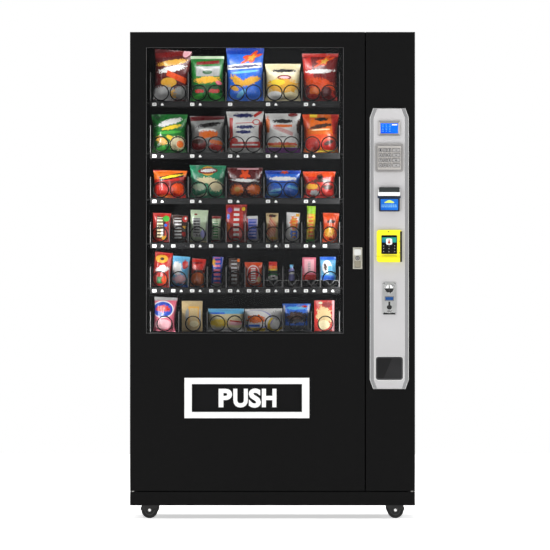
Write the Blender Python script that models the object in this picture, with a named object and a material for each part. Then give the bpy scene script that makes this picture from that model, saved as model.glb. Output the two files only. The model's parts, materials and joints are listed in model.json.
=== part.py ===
"""Snack vending machine on casters: a glass-fronted spiral vendor with a payment column on its right.

Metres, +Z up, front facing -Y, origin on the floor under the middle of the machine.
Run with: blender --background --python part.py
"""

import math

import bmesh
import bpy
from mathutils import Matrix, Vector

# ---------------------------------------------------------------- driving dimensions
TOTAL_HEIGHT = 1.940        # floor to the top of the cabinet
CABINET_WIDTH = 1.136
CABINET_DEPTH = 0.800       # door face to the cabinet's back

GAP = 0.0003                # between pieces that touch
SEAM = 0.004                # between the two doors, and under them

PLINTH_BOTTOM = 0.053
PLINTH_TOP = 0.107
PLINTH_WALL = 0.020

SIDE_WALL = 0.040
BACK_WALL = 0.040
TOP_WALL = 0.040
BASE_THICKNESS = 0.030
PARTITION_THICKNESS = 0.025
PARTITION_SET_BACK = 0.037  # from the door seam, leftwards, to the partition

DOOR_THICKNESS = 0.045
DOOR_GAP = 0.003            # between a closed door and the cabinet
PAYMENT_DOOR_WIDTH = 0.196
HINGE_INSET = 0.012         # hinge axis from the door's outer side and from its face
HINGE_ROD_RADIUS = 0.0055
HINGE_BORE_CLEARANCE = 0.0006

WINDOW_MARGIN = 0.0145      # window edge beyond the tray, each side
WINDOW_BOTTOM = 0.738
WINDOW_TOP_RAIL = 0.0615    # door top down to the window
GLASS_THICKNESS = 0.006
GLASS_SET_BACK = 0.008

FLAP_OFFSET = 0.008         # flap's middle, right of the window's middle
SURROUND_WIDTH = 0.498
SURROUND_HEIGHT = 0.1606
SURROUND_BOTTOM = 0.401
SURROUND_SIDE = 0.0295      # width of the frame at its sides
SURROUND_EDGE = 0.0245      # width of the frame above and below
SURROUND_PROUD = 0.007
SURROUND_LIP = 0.010        # how far the frame overlaps the door round its cut-out
FLAP_THICKNESS = 0.006
FLAP_CLEARANCE = 0.0015
FLAP_DEPTH = 0.010          # flap's face behind the door's face
FLAP_PIN_RADIUS = 0.0025
FLAP_PIN_LENGTH = 0.006
FLAP_PIN_DROP = 0.007       # pin axis below the top of the opening

LOCK_WIDTH = 0.0367
LOCK_HEIGHT = 0.0853
LOCK_MIDDLE_HEIGHT = 1.0386
LOCK_SET_IN = 0.029         # lock's middle from the door's free edge
LOCK_PROUD = 0.003
LOCK_DEPTH = 0.028
LOCK_RIM = 0.0045
HANDLE_CLEARANCE = 0.0015
HANDLE_THICKNESS = 0.008
STEM_RADIUS = 0.006

TRAY_SIDE_SPACE = 0.039     # tray to the bay wall, each side, where the runners are
TRAY_DROP_SPACE = 0.100     # door back to the tray's front, where products fall
TRAY_BACK_SPACE = 0.035
TRAY_FLOOR = 0.0015
TRAY_ABOVE_WINDOW_BOTTOM = 0.005
TOP_TRAY_HEADROOM = 0.2115  # top tray's floor to the window's top
ROW_SHARES = (0.224, 0.196, 0.193, 0.194, 0.193)  # of the height between trays, top first
DIVIDER_THICKNESS = 0.0012
DIVIDER_TOP_CLEARANCE = 0.070  # divider top to the price rail above, or to the window's top
PRICE_RAIL_HEIGHT = 0.024
PRICE_RAIL_DEPTH = 0.010
MOTOR_RAIL_HEIGHT = 0.072
MOTOR_RAIL_DEPTH = 0.055
RUNNER_THICKNESS = 0.004
RUNNER_BEARING = 0.010      # how far a runner reaches under the tray
WIDE_LANES = 5              # lanes of a tray with paired spirals
NARROW_LANES = 10
LOWEST_LANE_SHARES = (3, 3, 4, 4, 3, 3)

SPIRAL_WIRE_RADIUS = 0.002
SPIRAL_TURNS = 8
SPIRAL_POINTS_A_TURN = 10
SPIRAL_FLOOR_CLEARANCE = 0.0015
SPIRAL_END_CLEARANCE = 0.006
SPIRAL_TAIL = 0.014
PAIR_GAP = 0.0015
PAIR_SIDE_CLEARANCE = 0.0084
NARROW_SIDE_CLEARANCE = 0.005

BIN_BOTTOM = 0.386
BIN_HEIGHT = 0.170
BIN_DEPTH = 0.400
BIN_WALL = 0.003

BEZEL_WIDTH = 0.155
BEZEL_HEIGHT = 1.119
BEZEL_BELOW_TOP = 0.304     # door top down to the bezel
BEZEL_RAISE = 0.014
BEZEL_SLOPE = 0.0165        # width of its sloping long sides
BEZEL_LIP = 0.003           # slope at its short ends
BEZEL_CORNER_WIDTH = 0.013
BEZEL_CORNER_HEIGHT = 0.037
BAY_CUTOUT_MARGIN = 0.020   # bezel edge to the door's cut-out behind it
MODULE_LIP = 0.004          # flange beyond its hole in the bezel
MODULE_CLEARANCE = 0.0005
MODULE_DEPTH = 0.085        # back of the modules behind the door's back
PAYMENT_BODY_DEPTH = DOOR_THICKNESS + MODULE_DEPTH

DISPLAY_SIZE = (0.0865, 0.058)
DISPLAY_DROP = 0.0802       # bezel top down to the module's middle
DISPLAY_PROUD = 0.004
DISPLAY_DEPTH = 0.030
SCREEN_SIZE = (0.070, 0.040)
SCREEN_RECESS = 0.002

KEYPAD_SIZE = (0.1136, 0.115)
KEYPAD_DROP = 0.1974
KEYPAD_PROUD = 0.006
KEYPAD_DEPTH = 0.030
KEY_WIDTH = 0.0145
WIDE_KEY_WIDTH = 0.0307
KEY_HEIGHT = 0.0148
KEY_COLUMN_PITCH = 0.0179
KEY_ROW_PITCH = 0.0202
KEY_ROWS = 4
KEY_FIRST_COLUMN = -0.0356  # first column's middle from the keypad's middle
WIDE_KEY_COLUMN = 0.0274
KEY_PROUD = 0.0025
KEY_LENGTH = 0.009
KEY_TRAVEL = 0.0015
KEY_CLEARANCE = 0.0005

BILL_SIZE = (0.082, 0.0964)
BILL_DROP = 0.3631
BILL_REACH = 0.030          # hood beyond the bezel's face
BILL_PLATE_REACH = 0.010
BILL_TOP_REACH = 0.012
BILL_HOOD_SLOPE = 0.028
BILL_SLOT = (0.068, 0.0056)
BILL_SLOT_DEPTH = 0.050

READER_SIZE = (0.101, 0.129)
READER_DROP = 0.5491
READER_TOP_REACH = 0.010
READER_LEDGE_REACH = 0.022
READER_LEDGE_HEIGHT = 0.024
READER_DEPTH = 0.045

COIN_SIZE = (0.0526, 0.1287)
COIN_DROP = 0.7573
COIN_PROUD = 0.004
COIN_MECHANISM_WIDTH = 0.080
COIN_ENTRY_RADIUS = 0.0163
COIN_ENTRY_RISE = 0.0385
COIN_ENTRY_RECESS = 0.0025
COIN_SLOT = (0.0034, 0.027)
COIN_SLOT_DEPTH = 0.060
REJECT_SIZE = (0.0307, 0.0128)
REJECT_DROP = 0.0012
REJECT_PROUD = 0.002
REJECT_LENGTH = 0.012
REJECT_TRAVEL = 0.004
REJECT_CLEARANCE = 0.0006

CHANGE_SIZE = (0.1084, 0.0925)
CHANGE_DROP = 1.0364
CHANGE_WALL = 0.003
CHANGE_THICKNESS = 0.004
CHANGE_SET_BACK = 0.002
CHANGE_CLEARANCE = 0.001
CHANGE_CORNER = 0.011
CHANGE_CUP_DEPTH = 0.060    # back of the change cup behind the door's back
CHANGE_PIN_RADIUS = 0.0015
CHANGE_PIN_LENGTH = 0.003
CHANGE_PIN_DROP = 0.005     # pin axis below the top of the mouth
CUP_SIDE_SPACE = 0.0053     # change cup to the cabinet's side wall
COIN_CHUTE = (0.040, 0.020)

WHEEL_RADIUS = 0.0325
WHEEL_WIDTH = 0.024
AXLE_BORE_RADIUS = 0.0045
AXLE_CLEARANCE = 0.0005
CASTER_TRAIL = 0.041
CASTER_SIDE_INSET = 0.118   # swivel axis from the cabinet's side
CASTER_FRONT_INSET = 0.110  # swivel axis from the cabinet's face and from its back
CASTER_HEIGHT = 0.086
FORK_WALL = 0.004
FORK_WHEEL_CLEARANCE = 0.002
FORK_HOOD_GAP = 0.004
SWIVEL_RADIUS = 0.018
SWIVEL_HEIGHT = 0.008
CASTER_PAD = (0.080, 0.070)

# ---------------------------------------------------------------- places worked out from them
FRONT_REACH = BEZEL_RAISE + 2 * GAP + BILL_REACH
FRONT = FRONT_REACH - (CABINET_DEPTH + FRONT_REACH) / 2
BACK = FRONT + CABINET_DEPTH
LEFT = -CABINET_WIDTH / 2
RIGHT = CABINET_WIDTH / 2
DOOR_BACK = FRONT + DOOR_THICKNESS
CABINET_FRONT = DOOR_BACK + DOOR_GAP
SHELL_BOTTOM = PLINTH_TOP + GAP
BAY_FLOOR = SHELL_BOTTOM + BASE_THICKNESS
BAY_TOP = TOTAL_HEIGHT - TOP_WALL
BAY_BACK = BACK - BACK_WALL
DOOR_BOTTOM = PLINTH_TOP + SEAM
PAYMENT_LEFT = RIGHT - PAYMENT_DOOR_WIDTH
MAIN_RIGHT = PAYMENT_LEFT - SEAM
PARTITION_RIGHT = MAIN_RIGHT + SEAM / 2 - PARTITION_SET_BACK
PARTITION_LEFT = PARTITION_RIGHT - PARTITION_THICKNESS

TRAY_LEFT = LEFT + SIDE_WALL + TRAY_SIDE_SPACE
TRAY_RIGHT = PARTITION_LEFT - TRAY_SIDE_SPACE
TRAY_WIDTH = TRAY_RIGHT - TRAY_LEFT
TRAY_MIDDLE = (TRAY_LEFT + TRAY_RIGHT) / 2
TRAY_FRONT = DOOR_BACK + TRAY_DROP_SPACE
TRAY_BACK = BAY_BACK - TRAY_BACK_SPACE
MOTOR_RAIL_FRONT = TRAY_BACK - MOTOR_RAIL_DEPTH
WINDOW_LEFT = TRAY_LEFT - WINDOW_MARGIN
WINDOW_RIGHT = TRAY_RIGHT + WINDOW_MARGIN
WINDOW_TOP = TOTAL_HEIGHT - WINDOW_TOP_RAIL
LOWEST_TRAY = WINDOW_BOTTOM + TRAY_ABOVE_WINDOW_BOTTOM
TOP_TRAY = WINDOW_TOP - TOP_TRAY_HEADROOM
TRAY_LEVELS = [
    LOWEST_TRAY + (TOP_TRAY - LOWEST_TRAY) * sum(ROW_SHARES[row:])
    for row in range(len(ROW_SHARES) + 1)
]

WIDE_LANE = TRAY_WIDTH / WIDE_LANES - DIVIDER_THICKNESS
NARROW_LANE = TRAY_WIDTH / NARROW_LANES - DIVIDER_THICKNESS
PAIR_SPIRAL_RADIUS = (WIDE_LANE - PAIR_GAP - 2 * PAIR_SIDE_CLEARANCE) / 4
NARROW_SPIRAL_RADIUS = (NARROW_LANE - 2 * NARROW_SIDE_CLEARANCE) / 2

FLAP_MIDDLE = TRAY_MIDDLE + FLAP_OFFSET
FLAP_OPENING_WIDTH = SURROUND_WIDTH - 2 * SURROUND_SIDE
FLAP_OPENING_BOTTOM = SURROUND_BOTTOM + SURROUND_EDGE
FLAP_OPENING_TOP = SURROUND_BOTTOM + SURROUND_HEIGHT - SURROUND_EDGE
FLAP_AXIS = (FLAP_MIDDLE, FRONT + FLAP_DEPTH + FLAP_THICKNESS / 2, FLAP_OPENING_TOP - FLAP_PIN_DROP)

LOCK_MIDDLE = MAIN_RIGHT - LOCK_SET_IN
BEZEL_MIDDLE = RIGHT - SIDE_WALL - CUP_SIDE_SPACE - (CHANGE_SIZE[0] / 2 + CHANGE_WALL)
BEZEL_TOP = TOTAL_HEIGHT - BEZEL_BELOW_TOP
BEZEL_BOTTOM = BEZEL_TOP - BEZEL_HEIGHT
BEZEL_BACK = FRONT - GAP
BEZEL_FACE = BEZEL_BACK - BEZEL_RAISE
MODULE_BACK_OF_FLANGE = BEZEL_FACE - GAP

WHEEL_CLEARANCE = WHEEL_WIDTH / 2 + FORK_WHEEL_CLEARANCE
FORK_HALF_WIDTH = WHEEL_CLEARANCE + FORK_WALL
PAD_BOTTOM = CASTER_HEIGHT + GAP

PAINTS = {
    "satin_black": ((0.012, 0.012, 0.013), 0.45, 0.0),
    "liner_black": ((0.008, 0.008, 0.009), 0.70, 0.0),
    "tray_grey": ((0.030, 0.030, 0.032), 0.45, 0.3),
    "steel": ((0.55, 0.54, 0.52), 0.30, 1.0),
    "brushed_steel": ((0.48, 0.47, 0.44), 0.38, 1.0),
    "bezel_grey": ((0.60, 0.60, 0.58), 0.45, 0.0),
    "white_plastic": ((0.80, 0.80, 0.78), 0.40, 0.0),
    "smoked_plastic": ((0.015, 0.016, 0.018), 0.15, 0.0),
    "glass": ((0.20, 0.22, 0.22), 0.05, 0.0),
    "keypad_grey": ((0.25, 0.25, 0.26), 0.40, 0.6),
    "key_grey": ((0.55, 0.55, 0.55), 0.40, 0.0),
    "screen_blue": ((0.02, 0.08, 0.45), 0.25, 0.0),
    "bill_green": ((0.06, 0.08, 0.075), 0.50, 0.0),
    "reader_yellow": ((0.75, 0.55, 0.03), 0.45, 0.0),
    "button_blue": ((0.02, 0.07, 0.40), 0.35, 0.0),
    "spiral_black": ((0.01, 0.01, 0.01), 0.35, 0.2),
    "rubber": ((0.015, 0.015, 0.015), 0.80, 0.0),
}


# ---------------------------------------------------------------- shape helpers
def clear_scene():
    for obj in list(bpy.data.objects):
        bpy.data.objects.remove(obj, do_unlink=True)


def make_collection(name):
    collection = bpy.data.collections.new(name)
    bpy.context.scene.collection.children.link(collection)
    return collection


def make_paint(name):
    colour, roughness, metallic = PAINTS[name]
    material = bpy.data.materials.new(name)
    material.use_nodes = True
    shader = material.node_tree.nodes["Principled BSDF"]
    shader.inputs["Base Color"].default_value = (*colour, 1.0)
    shader.inputs["Roughness"].default_value = roughness
    shader.inputs["Metallic"].default_value = metallic
    material.diffuse_color = (*colour, 1.0)
    return material


def add_box(bm, x, y, z):
    """Adds a box given the (low, high) ends of its three sides."""
    middle = Vector((sum(x) / 2, sum(y) / 2, sum(z) / 2))
    size = Vector((x[1] - x[0], y[1] - y[0], z[1] - z[0]))
    bmesh.ops.create_cube(bm, size=1.0, matrix=Matrix.Translation(middle) @ Matrix.Diagonal(size).to_4x4())


def add_cylinder(bm, middle, radius, length, axis, segments=32):
    """Adds a closed cylinder whose axis is X, Y or Z, with a corner of its outline straight down."""
    turns = {"X": Matrix.Rotation(math.pi / 2, 4, "Y"), "Y": Matrix.Rotation(math.pi / 2, 4, "X")}
    matrix = Matrix.Translation(Vector(middle)) @ turns.get(axis, Matrix.Identity(4))
    bmesh.ops.create_cone(
        bm, cap_ends=True, segments=segments, radius1=radius, radius2=radius, depth=length, matrix=matrix
    )


def around(middle, width):
    """The (low, high) ends of a width laid evenly about a middle."""
    return (middle - width / 2, middle + width / 2)


def place(name, mesh, origin, paint):
    """Puts a mesh drawn in world coordinates in the scene, with the object's origin at origin."""
    mesh.transform(Matrix.Translation(-Vector(origin)))
    obj = bpy.data.objects.new(name, mesh)
    obj.location = origin
    if paint:
        mesh.materials.append(materials[paint])
        parts.objects.link(obj)
    else:
        obj.hide_render = True
        obj.display_type = "WIRE"
        cutters.objects.link(obj)
    return obj


def from_bmesh(name, bm, origin=(0.0, 0.0, 0.0), paint=None):
    """An object from a bmesh; with no paint it is a cutter."""
    mesh = bpy.data.meshes.new(name)
    bm.to_mesh(mesh)
    bm.free()
    return place(name, mesh, origin, paint)


def outline_mesh(name, outline, thickness, matrix):
    """The welded mesh of a flat outline given thickness, laid in the world by a matrix."""
    curve = bpy.data.curves.new(name, "CURVE")
    curve.dimensions = "2D"
    curve.fill_mode = "BOTH"
    curve.extrude = thickness / 2
    spline = curve.splines.new("POLY")
    spline.points.add(len(outline) - 1)
    for point, (across, up) in zip(spline.points, outline):
        point.co = (across, up, 0.0, 1.0)
    spline.use_cyclic_u = True
    holder = bpy.data.objects.new(name, curve)
    bpy.context.scene.collection.objects.link(holder)
    bpy.context.view_layer.update()
    mesh = bpy.data.meshes.new_from_object(holder.evaluated_get(bpy.context.evaluated_depsgraph_get()))
    bpy.data.objects.remove(holder, do_unlink=True)
    bm = bmesh.new()
    bm.from_mesh(mesh)
    bmesh.ops.remove_doubles(bm, verts=bm.verts, dist=1e-6)
    bmesh.ops.recalc_face_normals(bm, faces=bm.faces)
    bm.transform(matrix)
    bm.to_mesh(mesh)
    bm.free()
    return mesh


def side_profile(name, outline, x, origin=(0.0, 0.0, 0.0), paint=None):
    """A solid whose outline is given as (y, z) points and which runs between two x values."""
    axes = Matrix(((0, 0, 1, sum(x) / 2), (1, 0, 0, 0), (0, 1, 0, 0), (0, 0, 0, 1)))
    return place(name, outline_mesh(name, outline, x[1] - x[0], axes), origin, paint)


def front_profile(name, outline, y, origin=(0.0, 0.0, 0.0), paint=None):
    """A solid whose outline is given as (x, z) points and which runs between two y values."""
    axes = Matrix(((1, 0, 0, 0), (0, 0, -1, sum(y) / 2), (0, 1, 0, 0), (0, 0, 0, 1)))
    return place(name, outline_mesh(name, outline, y[1] - y[0], axes), origin, paint)


def rounded_rectangle(middle, size, radius, steps=5):
    """Corner-rounded outline points, anticlockwise."""
    points = []
    for quarter, (side, up) in enumerate(((1, 1), (-1, 1), (-1, -1), (1, -1))):
        centre = (middle[0] + side * (size[0] / 2 - radius), middle[1] + up * (size[1] / 2 - radius))
        for step in range(steps + 1):
            angle = math.pi / 2 * (quarter + step / steps)
            points.append((centre[0] + radius * math.cos(angle), centre[1] + radius * math.sin(angle)))
    return points


def combine(target, helper, operation):
    modifier = target.modifiers.new(helper.name, "BOOLEAN")
    modifier.operation = operation
    modifier.object = helper
    return target


def cut(target, helper):
    return combine(target, helper, "DIFFERENCE")


def join(target, helper):
    return combine(target, helper, "UNION")


def smooth(obj):
    obj.data.shade_smooth()
    obj.data.set_sharp_from_angle(angle=math.radians(35))
    return obj


# ---------------------------------------------------------------- cabinet
def caster_places():
    """(name, side, swivel x, swivel y) of the four casters; side is the way the wheel trails."""
    for end, y in (("front", FRONT + CASTER_FRONT_INSET), ("rear", BACK - CASTER_FRONT_INSET)):
        for side, x in ((-1, LEFT + CASTER_SIDE_INSET), (1, RIGHT - CASTER_SIDE_INSET)):
            yield f"{end}_{'left' if side < 0 else 'right'}", side, x, y


def runner_span():
    return (TRAY_FRONT + PRICE_RAIL_DEPTH + SEAM, BAY_BACK - GAP)


def make_cabinet():
    bm = bmesh.new()
    add_box(bm, (LEFT, RIGHT), (CABINET_FRONT, BACK), (SHELL_BOTTOM, TOTAL_HEIGHT))
    shell = from_bmesh("cabinet_shell", bm, paint="satin_black")
    bm = bmesh.new()
    add_box(bm, (LEFT + SIDE_WALL, RIGHT - SIDE_WALL), (CABINET_FRONT - SEAM, BAY_BACK), (BAY_FLOOR, BAY_TOP))
    cut(shell, from_bmesh("bay_cutter", bm))
    bm = bmesh.new()
    for level in TRAY_LEVELS:
        top = level - TRAY_FLOOR - GAP
        wall = LEFT + SIDE_WALL
        add_box(bm, (wall - SEAM, TRAY_LEFT + RUNNER_BEARING), runner_span(), (top - RUNNER_THICKNESS, top))
    for _, _, x, y in caster_places():
        add_box(bm, around(x, CASTER_PAD[0]), around(y, CASTER_PAD[1]), (PAD_BOTTOM, SHELL_BOTTOM + SEAM))
    join(shell, from_bmesh("left_runners_and_caster_pads", bm))


def make_partition():
    bm = bmesh.new()
    add_box(
        bm,
        (PARTITION_LEFT, PARTITION_RIGHT),
        (CABINET_FRONT, BAY_BACK - GAP),
        (BAY_FLOOR + GAP, BAY_TOP - GAP),
    )
    partition = from_bmesh("partition_wall", bm, paint="liner_black")
    bm = bmesh.new()
    front, back = runner_span()
    for level in TRAY_LEVELS:
        top = level - TRAY_FLOOR - GAP
        across = (TRAY_RIGHT - RUNNER_BEARING, PARTITION_LEFT + SEAM)
        add_box(bm, across, (front, back - SEAM), (top - RUNNER_THICKNESS, top))
    join(partition, from_bmesh("right_runners", bm))


def make_plinth():
    bm = bmesh.new()
    add_box(bm, (LEFT, RIGHT), (FRONT, BACK), (PLINTH_BOTTOM, PLINTH_TOP))
    plinth = from_bmesh("base_plinth", bm, paint="satin_black")
    bm = bmesh.new()
    add_box(
        bm,
        (LEFT + PLINTH_WALL, RIGHT - PLINTH_WALL),
        (FRONT + PLINTH_WALL, BACK - PLINTH_WALL),
        (PLINTH_BOTTOM - SEAM, PLINTH_TOP + SEAM),
    )
    cut(plinth, from_bmesh("plinth_cutter", bm))


def make_delivery_bin():
    sides = (LEFT + SIDE_WALL + GAP, PARTITION_LEFT - GAP)
    back = CABINET_FRONT + BIN_DEPTH
    bm = bmesh.new()
    add_box(bm, sides, (CABINET_FRONT, back), (BIN_BOTTOM, BIN_BOTTOM + BIN_HEIGHT))
    tub = from_bmesh("delivery_bin", bm, paint="liner_black")
    bm = bmesh.new()
    add_box(
        bm,
        (sides[0] + BIN_WALL, sides[1] - BIN_WALL),
        (CABINET_FRONT - SEAM, back - BIN_WALL),
        (BIN_BOTTOM + BIN_WALL, BIN_BOTTOM + BIN_HEIGHT + SEAM),
    )
    cut(tub, from_bmesh("bin_cutter", bm))


# ---------------------------------------------------------------- casters
def fork_outline(x, side):
    """Side view of the hooded fork: round over the wheel, rising to the swivel; (x, z) points."""
    hub = x + side * CASTER_TRAIL
    hood = WHEEL_RADIUS + FORK_HOOD_GAP
    neck = CASTER_HEIGHT - SWIVEL_HEIGHT
    points = [(x - side * SWIVEL_RADIUS, neck), (x - side * SWIVEL_RADIUS, neck - SWIVEL_HEIGHT)]
    for step in range(7):
        angle = math.radians(-150 + 25 * step) if side > 0 else math.radians(-30 - 25 * step)
        points.append((hub + 0.4 * hood * math.cos(angle), WHEEL_RADIUS + 0.4 * hood * math.sin(angle)))
    for step in range(6):
        angle = math.radians(0 + 20 * step) if side > 0 else math.radians(180 - 20 * step)
        points.append((hub + hood * math.cos(angle), WHEEL_RADIUS + hood * math.sin(angle)))
    points.append((x + side * SWIVEL_RADIUS, neck))
    return points if side < 0 else points[::-1]


def make_caster(name, side, x, y):
    hub = x + side * CASTER_TRAIL
    fork = front_profile(
        f"caster_fork_{name}",
        fork_outline(x, side),
        around(y, 2 * FORK_HALF_WIDTH),
        (x, y, CASTER_HEIGHT),
        "satin_black",
    )
    bm = bmesh.new()
    add_cylinder(bm, (hub, y, WHEEL_RADIUS), WHEEL_RADIUS + FORK_HOOD_GAP / 2, 2 * WHEEL_CLEARANCE, "Y")
    cut(fork, from_bmesh(f"wheel_space_{name}", bm))
    bm = bmesh.new()
    axle = AXLE_BORE_RADIUS - AXLE_CLEARANCE
    add_cylinder(bm, (hub, y, WHEEL_RADIUS), axle, 2 * WHEEL_CLEARANCE + FORK_WALL, "Y", 16)
    add_cylinder(bm, (x, y, CASTER_HEIGHT - SWIVEL_HEIGHT), SWIVEL_RADIUS, 2 * SWIVEL_HEIGHT, "Z", 24)
    join(fork, from_bmesh(f"axle_and_swivel_{name}", bm))

    bm = bmesh.new()
    add_cylinder(bm, (hub, y, WHEEL_RADIUS), WHEEL_RADIUS, WHEEL_WIDTH, "Y", 40)
    wheel = from_bmesh(f"caster_wheel_{name}", bm, (hub, y, WHEEL_RADIUS), "rubber")
    bm = bmesh.new()
    add_cylinder(bm, (hub, y, WHEEL_RADIUS), AXLE_BORE_RADIUS, 2 * WHEEL_WIDTH, "Y", 16)
    cut(wheel, from_bmesh(f"axle_bore_{name}", bm))
    smooth(wheel)


# ---------------------------------------------------------------- main door
def make_hinge_rod(name, x):
    middle = (x, FRONT + HINGE_INSET, (PLINTH_TOP + TOTAL_HEIGHT + GAP) / 2)
    bm = bmesh.new()
    add_cylinder(bm, middle, HINGE_ROD_RADIUS, TOTAL_HEIGHT - PLINTH_TOP - GAP, "Z", 16)
    smooth(from_bmesh(name, bm, middle, "steel"))


def hinge_bore(name, x):
    middle = (x, FRONT + HINGE_INSET, TOTAL_HEIGHT / 2)
    bm = bmesh.new()
    add_cylinder(bm, middle, HINGE_ROD_RADIUS + HINGE_BORE_CLEARANCE, 2 * TOTAL_HEIGHT, "Z", 16)
    return from_bmesh(name, bm)


def make_main_door():
    hinge_x = LEFT + HINGE_INSET
    axis = (hinge_x, FRONT + HINGE_INSET, DOOR_BOTTOM)
    bm = bmesh.new()
    add_box(bm, (LEFT, MAIN_RIGHT), (FRONT, DOOR_BACK), (DOOR_BOTTOM, TOTAL_HEIGHT))
    door = from_bmesh("door_panel", bm, axis, "satin_black")
    through = (FRONT - SEAM, DOOR_BACK + SEAM)
    inset = SURROUND_LIP - GAP
    bm = bmesh.new()
    add_box(bm, (WINDOW_LEFT, WINDOW_RIGHT), through, (WINDOW_BOTTOM, WINDOW_TOP))
    add_box(
        bm,
        around(FLAP_MIDDLE, SURROUND_WIDTH - 2 * inset),
        through,
        around(SURROUND_BOTTOM + SURROUND_HEIGHT / 2, SURROUND_HEIGHT - 2 * inset),
    )
    add_box(
        bm,
        around(LOCK_MIDDLE, LOCK_WIDTH - 2 * LOCK_PROUD + 2 * GAP),
        (FRONT - SEAM, FRONT + LOCK_DEPTH + GAP),
        around(LOCK_MIDDLE_HEIGHT, LOCK_HEIGHT - 2 * LOCK_PROUD + 2 * GAP),
    )
    cut(door, from_bmesh("door_openings", bm))
    cut(door, hinge_bore("main_hinge_bore", hinge_x))
    make_hinge_rod("main_door_hinge_rod", hinge_x)

    bm = bmesh.new()
    add_box(
        bm,
        (WINDOW_LEFT + GAP, WINDOW_RIGHT - GAP),
        (FRONT + GLASS_SET_BACK, FRONT + GLASS_SET_BACK + GLASS_THICKNESS),
        (WINDOW_BOTTOM + GAP, WINDOW_TOP - GAP),
    )
    from_bmesh("window_glass", bm, axis, "glass")


def make_flap_surround():
    middle_height = SURROUND_BOTTOM + SURROUND_HEIGHT / 2
    face = (FRONT - GAP - SURROUND_PROUD, FRONT - GAP)
    bm = bmesh.new()
    add_box(bm, around(FLAP_MIDDLE, SURROUND_WIDTH), face, around(middle_height, SURROUND_HEIGHT))
    surround = from_bmesh("flap_surround", bm, paint="white_plastic")
    bm = bmesh.new()
    add_box(
        bm,
        around(FLAP_MIDDLE, SURROUND_WIDTH - 2 * SURROUND_LIP),
        (FRONT - GAP - SURROUND_PROUD / 2, DOOR_BACK),
        around(middle_height, SURROUND_HEIGHT - 2 * SURROUND_LIP),
    )
    join(surround, from_bmesh("surround_sleeve", bm))
    bm = bmesh.new()
    add_box(
        bm,
        around(FLAP_MIDDLE, FLAP_OPENING_WIDTH),
        (face[0] - SEAM, DOOR_BACK + SEAM),
        (FLAP_OPENING_BOTTOM, FLAP_OPENING_TOP),
    )
    cut(surround, from_bmesh("flap_opening", bm))
    bm = bmesh.new()
    bore = FLAP_PIN_RADIUS + HINGE_BORE_CLEARANCE
    add_cylinder(bm, FLAP_AXIS, bore, FLAP_OPENING_WIDTH + 2 * FLAP_PIN_LENGTH + SEAM, "X", 16)
    cut(surround, from_bmesh("flap_pin_bores", bm))


def make_push_flap():
    y = FLAP_AXIS[1]
    bm = bmesh.new()
    add_box(
        bm,
        around(FLAP_MIDDLE, FLAP_OPENING_WIDTH - 2 * FLAP_CLEARANCE),
        around(y, FLAP_THICKNESS),
        (FLAP_OPENING_BOTTOM + FLAP_CLEARANCE, FLAP_OPENING_TOP - FLAP_CLEARANCE),
    )
    flap = from_bmesh("push_flap", bm, FLAP_AXIS, "smoked_plastic")
    bm = bmesh.new()
    add_cylinder(bm, FLAP_AXIS, FLAP_PIN_RADIUS, FLAP_OPENING_WIDTH + 2 * FLAP_PIN_LENGTH, "X", 16)
    join(flap, from_bmesh("flap_pin", bm))


def make_lock():
    pocket = (LOCK_WIDTH - 2 * LOCK_RIM, LOCK_HEIGHT - 2 * LOCK_RIM)
    face = FRONT - GAP - LOCK_PROUD
    floor = FRONT + LOCK_DEPTH - LOCK_RIM
    bm = bmesh.new()
    add_box(bm, around(LOCK_MIDDLE, LOCK_WIDTH), (face, FRONT - GAP), around(LOCK_MIDDLE_HEIGHT, LOCK_HEIGHT))
    housing = from_bmesh("lock_housing", bm, paint="brushed_steel")
    bm = bmesh.new()
    add_box(
        bm,
        around(LOCK_MIDDLE, LOCK_WIDTH - 2 * LOCK_PROUD),
        (face + LOCK_PROUD / 2, FRONT + LOCK_DEPTH),
        around(LOCK_MIDDLE_HEIGHT, LOCK_HEIGHT - 2 * LOCK_PROUD),
    )
    join(housing, from_bmesh("lock_cup", bm))
    bm = bmesh.new()
    add_box(
        bm,
        around(LOCK_MIDDLE, pocket[0]),
        (face - SEAM, floor),
        around(LOCK_MIDDLE_HEIGHT, pocket[1]),
    )
    cut(housing, from_bmesh("lock_pocket", bm))

    handle = front_profile(
        "lock_handle",
        rounded_rectangle(
            (LOCK_MIDDLE, LOCK_MIDDLE_HEIGHT),
            (pocket[0] - 2 * HANDLE_CLEARANCE, pocket[1] - 2 * HANDLE_CLEARANCE),
            (pocket[0] - 2 * HANDLE_CLEARANCE) / 2 - GAP,
        ),
        (face - GAP, face - GAP + HANDLE_THICKNESS),
        (LOCK_MIDDLE, face, LOCK_MIDDLE_HEIGHT),
        "brushed_steel",
    )
    stem_front = face + HANDLE_THICKNESS / 2
    stem_back = floor - GAP
    bm = bmesh.new()
    add_cylinder(
        bm,
        (LOCK_MIDDLE, (stem_front + stem_back) / 2, LOCK_MIDDLE_HEIGHT),
        STEM_RADIUS,
        stem_back - stem_front,
        "Y",
        20,
    )
    join(handle, from_bmesh("lock_stem", bm))


# ---------------------------------------------------------------- payment door
def module_middle(drop):
    return BEZEL_TOP - drop


def payment_modules():
    """(size of the hole in the bezel, height of its middle) of each module, top first."""
    lip = 2 * (MODULE_LIP - MODULE_CLEARANCE)
    for size, drop in (
        (DISPLAY_SIZE, DISPLAY_DROP),
        (KEYPAD_SIZE, KEYPAD_DROP),
        (BILL_SIZE, BILL_DROP),
        (READER_SIZE, READER_DROP),
        (COIN_SIZE, COIN_DROP),
    ):
        yield (size[0] - lip, size[1] - lip), module_middle(drop)


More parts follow.
